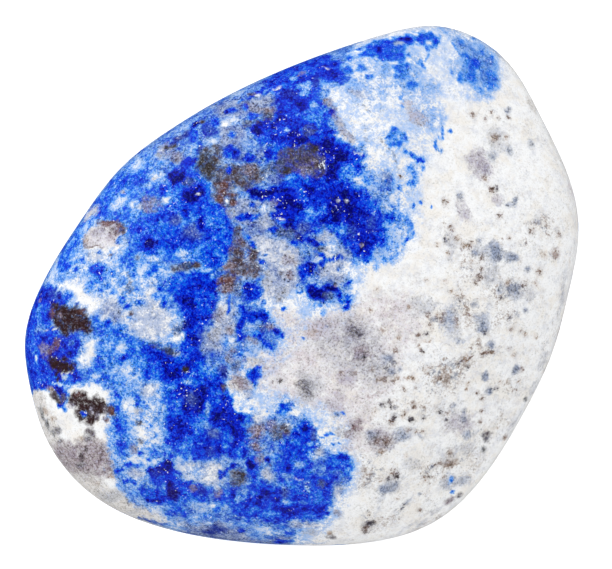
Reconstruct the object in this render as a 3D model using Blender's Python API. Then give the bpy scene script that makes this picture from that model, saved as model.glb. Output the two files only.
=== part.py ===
# Tumbled lapis lazuli pebble: one solid stone that rests on a small flat spot.
#
# Units are metres, +Z up. The broad face looks up, +X is the stone's long way and +Y its short way.
# The origin is on the resting spot's plane, under the middle of the stone's box.

import bpy
import bmesh
import numpy as np

# Driving dimensions, in millimetres
THICKNESS = 11.6
CROWN_TOP = (-1.6, -0.8)  # where the broad face is highest
FOOT_CENTRE = (0.6, -0.8)  # middle of the flat spot, under the centre of mass
FOOT_SINK = 0.14  # how much of the rounded underside the flat spot cuts away
DOME = 1.0  # how far the broad face falls from its top to its edge, before the edge is rounded

# The widest outline seen from above, clockwise from the top (x, y)
OUTLINE = [
    (6.4, 12.97), (8.5, 12.55), (10.3, 11.25), (11.8, 8.75), (13.3, 5.5), (13.8, 2.9),
    (13.4, 0.1), (12.45, -3.4), (10.95, -6.6), (9.05, -9.65), (7.0, -11.6), (4.0, -12.7),
    (0.1, -12.97), (-3.0, -12.8), (-6.8, -12.15), (-9.5, -11.1), (-11.7, -9.3), (-12.95, -7.2),
    (-13.55, -5.0), (-13.75, -2.6), (-12.9, 0.0), (-11.0, 3.1), (-9.15, 5.55), (-6.6, 7.6),
    (-3.6, 9.4), (0.0, 11.07), (4.0, 12.5),
]

# How the edge is rounded, every 45 degrees from +X towards +Y:
# height of the widest line, squareness of the edge above it and of the edge below it (2 is round)
EDGE_ROUNDING = [
    (5.2, 2.6, 2.3),
    (5.0, 2.3, 2.3),
    (6.2, 3.4, 2.2),
    (6.7, 4.8, 2.1),
    (6.4, 3.9, 2.2),
    (5.7, 2.9, 2.4),
    (5.6, 3.1, 2.4),
    (5.4, 2.9, 2.4),
]

# Broad worn flats: which way each looks (degrees round from +X, degrees up), how far it lies
# from the stone's middle and how softly it runs out, in millimetres
WORN_FLATS = [
    {"azimuth": 48.0, "elevation": 52.0, "distance": 9.5, "blend": 1.2},
    {"azimuth": -38.0, "elevation": 47.0, "distance": 9.4, "blend": 1.2},
    {"azimuth": 15.0, "elevation": -50.0, "distance": 10.3, "blend": 0.9},
    {"azimuth": 140.0, "elevation": -44.0, "distance": 7.6, "blend": 1.0},
    {"azimuth": 250.0, "elevation": -48.0, "distance": 10.0, "blend": 1.1},
]

# Mesh density
AROUND = 96
CROWN_RINGS = 17
BASE_RINGS = 15

MM = 0.001
STONE_BLUE = (0.055, 0.13, 0.62, 1.0)
STONE_ROUGHNESS = 0.25


def periodic_spline(knots, values, where):
    """Smooth closed curve through the values at the knots (radians), read at each angle asked for."""
    count = len(knots)
    step = np.diff(np.append(knots, knots[0] + 2 * np.pi))
    slope = (np.roll(values, -1) - values) / step
    matrix = np.zeros((count, count))
    right_side = np.zeros(count)
    for i in range(count):
        before = step[i - 1]
        matrix[i, i - 1] += before
        matrix[i, i] += 2 * (before + step[i])
        matrix[i, (i + 1) % count] += step[i]
        right_side[i] = 6 * (slope[i] - slope[i - 1])
    bend = np.linalg.solve(matrix, right_side)

    angle = (where - knots[0]) % (2 * np.pi) + knots[0]
    left = np.searchsorted(knots, angle, side="right") - 1
    right = (left + 1) % count
    width = step[left]
    t = (angle - knots[left]) / width
    straight = values[left] * (1 - t) + values[right] * t
    bow = ((1 - t) ** 3 - (1 - t)) * bend[left] + (t**3 - t) * bend[right]
    return straight + bow * width**2 / 6


def outline_radius(azimuth):
    points = np.array(OUTLINE)
    angles = np.arctan2(points[:, 1], points[:, 0])
    order = np.argsort(angles)
    return periodic_spline(angles[order], np.hypot(*points[order].T), azimuth)


def edge_rounding(azimuth):
    knots = np.arange(len(EDGE_ROUNDING)) * (2 * np.pi / len(EDGE_ROUNDING))
    columns = np.array(EDGE_ROUNDING).T
    return [periodic_spline(knots, column, azimuth) for column in columns]


def ring(azimuth, radius, centre, inward, height):
    """One closed ring of points: inward is 1 on the outline and 0 at the centre."""
    x = centre[0] * (1 - inward) + radius * inward * np.cos(azimuth)
    y = centre[1] * (1 - inward) + radius * inward * np.sin(azimuth)
    return np.stack([x, y, height], axis=1)


def stone_rings():
    """Rings of points from just below the top of the crown down to the edge of the flat spot."""
    azimuth = np.linspace(0, 2 * np.pi, AROUND, endpoint=False)
    radius = outline_radius(azimuth)
    girdle, crown_square, base_square = edge_rounding(azimuth)
    rings = []
    for turn in np.linspace(np.pi / 2, 0, CROWN_RINGS + 1)[1:]:
        rise = np.sin(turn) ** (2 / crown_square)
        inward = np.cos(turn) ** (2 / crown_square)
        crown_height = THICKNESS - DOME * inward**2 - girdle
        rings.append(ring(azimuth, radius, CROWN_TOP, inward, girdle + crown_height * rise))

    # The flat spot's edge is where the rounded underside passes the resting plane
    foot_fall = girdle / (girdle + FOOT_SINK)
    foot_turn = np.arcsin(foot_fall ** (base_square / 2))
    for share in np.linspace(0, 1, BASE_RINGS + 1)[1:]:
        turn = foot_turn * share
        fall = np.sin(turn) ** (2 / base_square)
        inward = np.cos(turn) ** (2 / base_square)
        rings.append(ring(azimuth, radius, FOOT_CENTRE, inward, girdle - (girdle + FOOT_SINK) * fall))
    rings[-1][:, 2] = 0.0
    return rings


def wear_flat(points, azimuth, elevation, distance, blend):
    """Presses what stands past a plane down onto it, and runs out softly round the flat's edge."""
    middle = np.array([0.0, 0.0, THICKNESS / 2])
    round_angle = np.radians(azimuth)
    up_angle = np.radians(elevation)
    facing = np.array([
        np.cos(up_angle) * np.cos(round_angle),
        np.cos(up_angle) * np.sin(round_angle),
        np.sin(up_angle),
    ])
    past = (points - middle) @ facing - distance
    soft = np.clip(past + blend, 0, 2 * blend) ** 2 / (4 * blend)
    push = np.where(past > blend, past, soft)
    return points - push[:, None] * facing


def stone_points():
    """All points in millimetres: the crown's top first, then the rings from top to bottom."""
    top = np.array([[*CROWN_TOP, THICKNESS]])
    points = np.concatenate([top] + stone_rings())
    for flat in WORN_FLATS:
        points = wear_flat(points, **flat)
    middle = (points.min(axis=0) + points.max(axis=0)) / 2
    points[:, :2] -= middle[:2]
    return points


def stone_mesh():
    model = bmesh.new()
    verts = [model.verts.new(point * MM) for point in stone_points()]
    top = verts[0]
    rings = [verts[1 + start:1 + start + AROUND] for start in range(0, len(verts) - 1, AROUND)]
    for i in range(AROUND):
        model.faces.new((top, rings[0][i], rings[0][(i + 1) % AROUND]))
    for upper, lower in zip(rings, rings[1:]):
        for i in range(AROUND):
            j = (i + 1) % AROUND
            model.faces.new((upper[i], lower[i], lower[j], upper[j]))
    model.faces.new(list(reversed(rings[-1])))
    bmesh.ops.recalc_face_normals(model, faces=model.faces)
    mesh = bpy.data.meshes.new("lapis_stone")
    model.to_mesh(mesh)
    model.free()
    mesh.shade_smooth()
    return mesh


def stone_material():
    material = bpy.data.materials.new("lapis")
    material.use_nodes = True
    shader = material.node_tree.nodes["Principled BSDF"]
    shader.inputs["Base Color"].default_value = STONE_BLUE
    shader.inputs["Roughness"].default_value = STONE_ROUGHNESS
    shader.inputs["Metallic"].default_value = 0.0
    return material


def main():
    for old in list(bpy.data.objects):
        bpy.data.objects.remove(old, do_unlink=True)
    mesh = stone_mesh()
    mesh.materials.append(stone_material())
    bpy.context.scene.collection.objects.link(bpy.data.objects.new("lapis_stone", mesh))


main()
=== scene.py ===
# Tumbled lapis lazuli pebble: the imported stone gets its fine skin, its minerals and its light here.
# Places on the stone are in millimetres seen from above, +X right and +Y away, from under its middle.

import bmesh
import bpy
import math
import numpy as np
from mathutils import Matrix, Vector
from mathutils.bvhtree import BVHTree


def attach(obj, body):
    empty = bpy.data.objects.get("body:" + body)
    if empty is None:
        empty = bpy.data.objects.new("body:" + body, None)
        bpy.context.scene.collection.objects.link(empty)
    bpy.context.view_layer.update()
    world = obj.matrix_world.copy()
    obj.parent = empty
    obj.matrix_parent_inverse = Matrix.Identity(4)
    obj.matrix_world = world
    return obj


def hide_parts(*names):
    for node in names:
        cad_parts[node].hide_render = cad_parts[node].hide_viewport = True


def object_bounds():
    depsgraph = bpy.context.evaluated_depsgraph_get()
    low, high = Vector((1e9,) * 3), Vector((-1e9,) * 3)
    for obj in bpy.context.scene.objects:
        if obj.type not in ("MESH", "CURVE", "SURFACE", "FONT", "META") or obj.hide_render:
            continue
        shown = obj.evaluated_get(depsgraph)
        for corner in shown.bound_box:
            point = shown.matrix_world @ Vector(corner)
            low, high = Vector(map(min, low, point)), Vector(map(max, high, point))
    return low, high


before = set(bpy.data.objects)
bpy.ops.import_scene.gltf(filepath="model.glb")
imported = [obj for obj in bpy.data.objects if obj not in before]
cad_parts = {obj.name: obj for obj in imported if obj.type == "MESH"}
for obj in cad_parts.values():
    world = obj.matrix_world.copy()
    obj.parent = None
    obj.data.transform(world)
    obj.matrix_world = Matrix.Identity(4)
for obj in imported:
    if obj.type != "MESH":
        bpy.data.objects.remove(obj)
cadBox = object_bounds()

# How the picture is taken: straight down on the broad face

view = {
    "lens": 150.0,
    "sensor": 36.0,
    "girdle": 0.0058,  # height at which the picture is to scale
    "pictureWide": 612 * 0.00005,
    "middle": (0.000125, 0.000025),
}


def cameraAway():
    return view["pictureWide"] * view["lens"] / view["sensor"]


# The fine skin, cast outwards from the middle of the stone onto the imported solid

skin = {
    "heart": (0.0, 0.0, 5.8),  # where the rays start
    "reach": 13.3,  # rough half width of the stone, only used to space the rings
    "topSpacing": 0.108,
    "baseSpacing": 0.22,
    "crownSquareness": 3.0,
    "baseSquareness": 2.3,
    "around": 896,  # points round the widest rings, halved wherever the rings get small
    "roundness": 0.75,  # how far the solid's flat facets are swelled into one another
    "smoothing": 14,
    "seamDrop": 1.3,  # how far past the widest line the texture map is cut
    "footKept": 0.0002,  # the skin below this height, in metres, isn't smoothed
    "profileSteps": 4000,
    "spacingFade": 4.0,  # the rings widen over this distance past the widest line
    "fewest": 15,
    "squareFaces": 1.42,  # a ring is halved where its faces get narrower than this allows
}

# Where the two islands of the texture map lie, and how large they are
island = {"crownMiddle": 0.39, "crownRadius": 0.385, "baseMiddle": 0.8, "baseRadius": 0.192}


def planRings(plan):
    # Each ring: share of the outline, height above the heart, points, distance walked from the top
    turns = np.linspace(math.pi / 2, 0, plan["profileSteps"])
    crown = 2 / plan["crownSquareness"]
    base = 2 / plan["baseSquareness"]
    share = np.concatenate([np.cos(turns) ** crown, np.cos(turns[::-1]) ** base])
    rise = np.concatenate([np.sin(turns) ** crown, -(np.sin(turns[::-1]) ** base)])
    height = rise * plan["heart"][2]
    step = np.hypot(np.diff(share * plan["reach"]), np.diff(height))
    walked = np.concatenate([[0.0], np.cumsum(step)])
    girdle = walked[plan["profileSteps"] - 1]
    rings = []
    at = plan["topSpacing"]
    while at < walked[-1] - 0.6 * plan["baseSpacing"]:
        below = min(max((at - girdle) / plan["spacingFade"], 0.0), 1.0)
        spacing = plan["topSpacing"] * (1 - below) + plan["baseSpacing"] * below
        ringShare = float(np.interp(at, walked, share))
        count = plan["around"]
        twice = 4 * math.pi * plan["reach"] * ringShare
        while count > plan["fewest"] and twice / count < plan["squareFaces"] * spacing:
            count //= 2
        rings.append((ringShare, float(np.interp(at, walked, height)), count, at))
        at += spacing
    return rings, girdle, walked[-1]


def readSolid(cadMesh):
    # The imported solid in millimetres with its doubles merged, as a ray target and as plain arrays
    solid = bmesh.new()
    solid.from_mesh(cadMesh)
    bmesh.ops.remove_doubles(solid, verts=solid.verts, dist=1e-6)
    bmesh.ops.scale(solid, vec=(1000, 1000, 1000), verts=solid.verts)
    bmesh.ops.triangulate(solid, faces=solid.faces)
    solid.normal_update()
    target = BVHTree.FromBMesh(solid)
    corners = np.array([[v.co[:] for v in f.verts] for f in solid.faces])
    normals = np.array([[v.normal[:] for v in f.verts] for f in solid.faces])
    solid.free()
    return target, corners, normals


def swell(points, hits, corners, normals, roundness):
    # Lifts each point off its flat facet towards the curved surface that the corner normals describe
    a, b, c = corners[hits].transpose(1, 0, 2)
    ab, ac, ap = b - a, c - a, points - a
    d00, d01, d11 = (ab * ab).sum(1), (ab * ac).sum(1), (ac * ac).sum(1)
    d20, d21 = (ap * ab).sum(1), (ap * ac).sum(1)
    area = d00 * d11 - d01 * d01
    v = (d11 * d20 - d01 * d21) / area
    w = (d00 * d21 - d01 * d20) / area
    curved = np.zeros_like(points)
    for k, weight in enumerate([1 - v - w, v, w]):
        corner, normal = corners[hits][:, k], normals[hits][:, k]
        off = ((points - corner) * normal).sum(1)
        curved += weight[:, None] * (points - off[:, None] * normal)
    return points * (1 - roundness) + curved * roundness


def joinRings(rings, firsts):
    faces = []
    top, bottom = 0, firsts[-1] + rings[-1][2]
    firstCount, lastCount = rings[0][2], rings[-1][2]
    faces += [(top, firsts[0] + i, firsts[0] + (i + 1) % firstCount) for i in range(firstCount)]
    for (upper, lower), (start, following) in zip(zip(rings, rings[1:]), zip(firsts, firsts[1:])):
        n, m = upper[2], lower[2]
        for i in range(min(n, m)):
            j = (i + 1) % min(n, m)
            if n == m:
                faces.append((start + i, following + i, following + j, start + j))
            elif m > n:
                left, middle, right = (following + k % m for k in (2 * i, 2 * i + 1, 2 * i + 2))
                faces += [(start + i, left, middle), (start + i, middle, start + j),
                          (start + j, middle, right)]
            else:
                left, middle, right = (start + k % n for k in (2 * i, 2 * i + 1, 2 * i + 2))
                faces += [(left, following + i, middle), (middle, following + i, following + j),
                          (middle, following + j, right)]
    faces += [(firsts[-1] + i, bottom, firsts[-1] + (i + 1) % lastCount) for i in range(lastCount)]
    return faces


def castSkin(plan, target, corners, normals):
    rings, girdle, whole = planRings(plan)
    azimuth = np.arange(plan["around"]) * (2 * math.pi / plan["around"])
    heart = Vector(plan["heart"])
    outline = np.array([
        (target.ray_cast(heart, Vector((math.cos(turn), math.sin(turn), 0)))[0] - heart).length
        for turn in azimuth
    ])
    directions = [(0, 0, 1)]
    walked, turned, firsts = [0.0], [0.0], []
    for share, height, count, at in rings:
        firsts.append(len(walked))
        skip = plan["around"] // count
        for turn, radius in zip(azimuth[::skip], outline[::skip]):
            directions.append((radius * share * math.cos(turn), radius * share * math.sin(turn), height))
            walked.append(at)
            turned.append(turn)
    directions.append((0, 0, -1))
    walked.append(whole)
    turned.append(0.0)

    found = [target.ray_cast(heart, Vector(direction)) for direction in directions]
    points = np.array([hit[0][:] for hit in found])
    hits = np.array([hit[2] for hit in found])
    points = swell(points, hits, corners, normals, plan["roundness"])
    points = np.clip(points, np.array(cadBox[0]) * 1000, np.array(cadBox[1]) * 1000)
    faces = joinRings(rings, firsts)
    return points, faces, np.array(walked), np.array(turned), girdle, whole


def mapSkin(mesh, walked, turned, seam, whole):
    # The crown gets a large round island and the underside a smaller one, both spread by distance walked
    loops = np.zeros(len(mesh.loops), np.int32)
    mesh.loops.foreach_get("vertex_index", loops)
    starts = np.zeros(len(mesh.polygons), np.int32)
    mesh.polygons.foreach_get("loop_start", starts)
    onCrown = np.maximum.reduceat(walked[loops], starts) <= seam
    crownLoop = np.repeat(onCrown, np.diff(np.append(starts, len(loops))))
    angle = turned[loops]
    crown = island["crownRadius"] * walked[loops] / seam
    base = island["baseRadius"] * (whole - walked[loops]) / (whole - seam)
    radius = np.where(crownLoop, crown, base)
    middle = np.where(crownLoop, island["crownMiddle"], island["baseMiddle"])
    side = np.where(crownLoop, 1.0, -1.0)
    places = np.stack([middle + side * radius * np.cos(angle), middle + radius * np.sin(angle)], axis=1)
    layer = mesh.uv_layers.new(name="OFBake")
    layer.data.foreach_set("uv", places.ravel())


def smoothSkin(stone, lowest, passes):
    # Evens out what is left of the solid's facets, and leaves the flat resting spot alone
    free = stone.vertex_groups.new(name="free")
    free.add([v.index for v in stone.data.vertices if v.co.z > lowest], 1.0, "REPLACE")
    evening = stone.modifiers.new("evening", "SMOOTH")
    evening.factor = 0.5
    evening.iterations = passes
    evening.vertex_group = "free"
    graph = bpy.context.evaluated_depsgraph_get()
    smoothed = bpy.data.meshes.new_from_object(stone.evaluated_get(graph))
    stone.modifiers.clear()
    stone.vertex_groups.clear()
    stone.data = smoothed


def buildSkin(plan, cadObject):
    target, corners, normals = readSolid(cadObject.data)
    points, faces, walked, turned, girdle, whole = castSkin(plan, target, corners, normals)
    mesh = bpy.data.meshes.new("stoneSkin")
    mesh.from_pydata([tuple(p) for p in points * 0.001], [], faces)
    mesh.shade_smooth()
    mapSkin(mesh, walked, turned, girdle + plan["seamDrop"], whole)
    stone = bpy.data.objects.new("stoneSkin", mesh)
    bpy.context.scene.collection.objects.link(stone)
    smoothSkin(stone, plan["footKept"], plan["smoothing"])
    count = len(stone.data.vertices)
    print("skin:", count, "points,", sum(len(p.vertices) - 2 for p in stone.data.polygons), "triangles")
    return stone, target


# What each mineral does to the skin. A blue mineral sets how deep the blue is (0 white, 1 nearly black
# blue), how milky (haze), how violet and how thick its painted highlight specks are, and it clears a share of
# the stains under it. A stain covers the blue with a colour of its own, in screen values, and a crisp one
# breaks up into specks. Dust gathers loose flecks. The edge is how softly a patch or vein ends, as a share of
# its size.
# The border is the same for a body, in millimetres. Some entries paint light: the highlight crowd is painted
# highlight, the glints are partly painted highlight, and the faint grey, faint pink and beige, where they lie
# as thin lines on the rim, are painted shade.


def blueMineral(depth, haze, edge, violet=0.0, **others):
    return {"depth": depth, "haze": haze, "edge": edge, "violet": violet, **others}


def stainMineral(colour, cover, edge, **others):
    return {"stain": colour, "cover": cover, "edge": edge, **others}


minerals = {
    "bluish": {"depth": 0.085, "haze": 0.0, "border": 1.6, "edge": 0.5},
    "halo": {"depth": 0.15, "haze": 0.0, "border": 1.8, "edge": 0.5},
    "azureHazy": blueMineral(0.43, 0.05, 0.5, sparkle=0.3, border=1.0),
    "hazy": blueMineral(0.37, 0.3, 0.5, sparkle=0.3, clears=1.0),
    "dullHazy": blueMineral(0.36, 0.85, 0.5, sparkle=0.4, clears=1.0),
    "azure": blueMineral(0.47, 0.0, 0.45, sparkle=0.2, clears=0.8),
    "midBlue": blueMineral(0.59, 0.0, 0.4, sparkle=0.3, clears=0.9),
    "royal": blueMineral(0.66, 0.0, 0.4, sparkle=0.3, clears=0.95),
    "dullRoyal": blueMineral(0.6, 0.7, 0.5, sparkle=0.4, clears=0.9),
    "ultra": blueMineral(0.72, 0.0, 0.4, sparkle=0.5, clears=1.0),
    "navy": blueMineral(0.9, 0.0, 0.4, violet=0.1, sparkle=0.8, clears=1.0),
    "violet": blueMineral(0.86, 0.3, 0.4, violet=1.0, clears=1.0),
    "violetBlue": blueMineral(0.68, 0.3, 0.45, violet=0.5, clears=1.0),
    "slateBlue": blueMineral(0.7, 0.85, 0.5, clears=0.9),
    "mist": blueMineral(0.19, 0.15, 0.75, sparkle=0.3, clears=0.8, border=0.8),
    "mistBlue": blueMineral(0.3, 0.0, 0.6, clears=0.8),
    "violetMist": blueMineral(0.26, 0.7, 0.6, violet=0.15, clears=0.8),
    "pale": blueMineral(0.17, 0.15, 0.7, sparkle=0.2, clears=1.0, border=0.8),
    "lavender": blueMineral(0.2, 0.9, 0.6, clears=1.0, border=0.6),
    "lavenderWhite": blueMineral(0.12, 0.8, 0.7, sparkle=0.0, clears=1.0, border=0.8),
    "white": blueMineral(0.03, 0.2, 0.75, sparkle=0.0, clears=1.0, border=0.8),
    "whitish": stainMineral((198, 190, 204), 0.6, 0.5),
    "pinkish": stainMineral((154, 138, 146), 0.82, 0.6, border=0.7),
    "brown": stainMineral((78, 64, 70), 0.85, 0.55),
    "warmBrown": stainMineral((98, 80, 88), 0.8, 0.55),
    "darkBrown": stainMineral((50, 22, 24), 1.1, 0.35),
    "olive": stainMineral((54, 47, 46), 0.95, 0.45),
    "greyBrown": stainMineral((80, 74, 88), 0.75, 0.6),
    "mauve": stainMineral((146, 140, 160), 0.65, 0.6),
    "pinkBrown": stainMineral((138, 120, 130), 0.75, 0.55),
    "redBrown": stainMineral((108, 70, 66), 0.85, 0.5),
    "redBrownLine": stainMineral((104, 68, 68), 0.9, 0.6, crisp=0.3),
    "slate": stainMineral((70, 88, 136), 0.7, 0.55),
    "darkSlate": stainMineral((44, 54, 88), 0.85, 0.45, crisp=0.3),
    "tan": stainMineral((172, 148, 126), 0.75, 0.5),
    "beigeAndRimShade": stainMineral((228, 223, 218), 0.75, 0.6),
    "grey": stainMineral((176, 180, 192), 0.6, 0.6),
    "greenGrey": stainMineral((102, 104, 106), 0.8, 0.5, crisp=0.4),
    "scratch": stainMineral((132, 140, 162), 0.6, 0.8, crisp=0.2),
    "cream": stainMineral((240, 234, 224), 0.6, 0.7),
    "greyFaintAndRimShade": stainMineral((186, 188, 198), 0.5, 0.7, border=1.0),
    "mauveFaint": stainMineral((184, 176, 190), 0.66, 0.7),
    "slateFaint": stainMineral((158, 170, 196), 0.7, 0.7),
    "pinkFaintAndRimShade": stainMineral((216, 204, 210), 0.38, 0.7, border=1.0),
    "black": stainMineral((24, 22, 30), 1.0, 0.5, crisp=0.8),
    # Glints are small bluish-white dots and streaks: partly white crystal, partly painted highlight where a
    # facet catches the light
    "glint": stainMineral((232, 240, 254), 0.95, 0.6, crisp=0.3),
    # A highlight crowd paints no mineral, only more painted highlight specks
    "sparkles": {"sparkle": 1.6, "edge": 0.6},
    "dusty": {"dust": 1.0, "edge": 0.8},
    "brownFleck": stainMineral((132, 108, 92), 0.82, 0.9, crisp=1.0),
    "blackFleck": stainMineral((86, 78, 82), 0.85, 0.9, crisp=1.0),
    "slateFleck": stainMineral((122, 134, 160), 0.75, 0.8, crisp=0.4),
    "tanFleck": stainMineral((168, 146, 126), 0.75, 0.9, crisp=1.0),
}

# Where the minerals lie on the broad face, as the picture shows it. Bodies are outlines, and veins are lines
# with half a width. Patches are a middle, two half sizes and, where they are turned, the turn in degrees.
# Later ones lie over earlier ones.

blueSide = [
    (-14.5, -5.4), (-13.0, 1.5), (-9.5, 7.0), (-4.0, 10.8), (2.0, 13.2), (3.0, 12.6), (2.1, 11.4),
    (2.4, 10.3), (1.5, 9.8), (1.0, 9.4), (1.5, 8.8), (1.4, 8.1), (2.0, 7.2), (3.0, 6.9), (3.1, 6.2),
    (3.2, 5.6), (4.2, 5.6), (4.5, 4.9), (4.6, 3.9), (4.5, 2.7), (4.3, 1.6), (3.9, 1.3), (3.2, 1.1),
    (2.4, 1.2), (1.9, 1.3), (1.9, 0.9), (1.4, 0.3), (2.3, 0.0), (2.4, -0.8), (2.1, -1.2), (1.3, -0.9),
    (0.5, -0.8), (0.0, -0.4), (-0.4, 0.0), (-0.4, 0.8), (-0.8, 1.9), (-2.0, 2.5), (-2.5, 1.8), (-1.9, 1.3),
    (-2.0, 0.3), (-2.0, -0.6), (-1.9, -1.5), (-1.3, -2.1), (-1.0, -2.5), (-1.6, -3.2), (-2.6, -3.6),
    (-3.0, -4.2), (-3.6, -4.4), (-4.0, -5.0), (-3.6, -5.9), (-3.1, -6.5), (-2.2, -7.0), (-1.4, -6.6),
    (-1.3, -6.0), (-0.7, -5.8), (-0.6, -6.4), (0.0, -6.7), (0.6, -7.2), (0.9, -8.0), (1.4, -8.4),
    (2.2, -8.4), (2.4, -9.0), (2.2, -9.6), (1.9, -10.2), (1.6, -10.9), (1.3, -11.4), (0.6, -11.9),
    (-0.3, -12.2), (-0.6, -13.5), (-3.0, -14.5), (-8.0, -13.5), (-8.3, -11.3), (-9.0, -10.7),
    (-9.3, -10.0), (-9.6, -9.3), (-9.6, -8.4), (-9.4, -7.4), (-9.5, -6.7), (-9.2, -6.1), (-9.6, -5.2),
    (-10.7, -5.0), (-11.3, -4.9), (-12.6, -5.0), (-13.2, -5.3),
]

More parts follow.
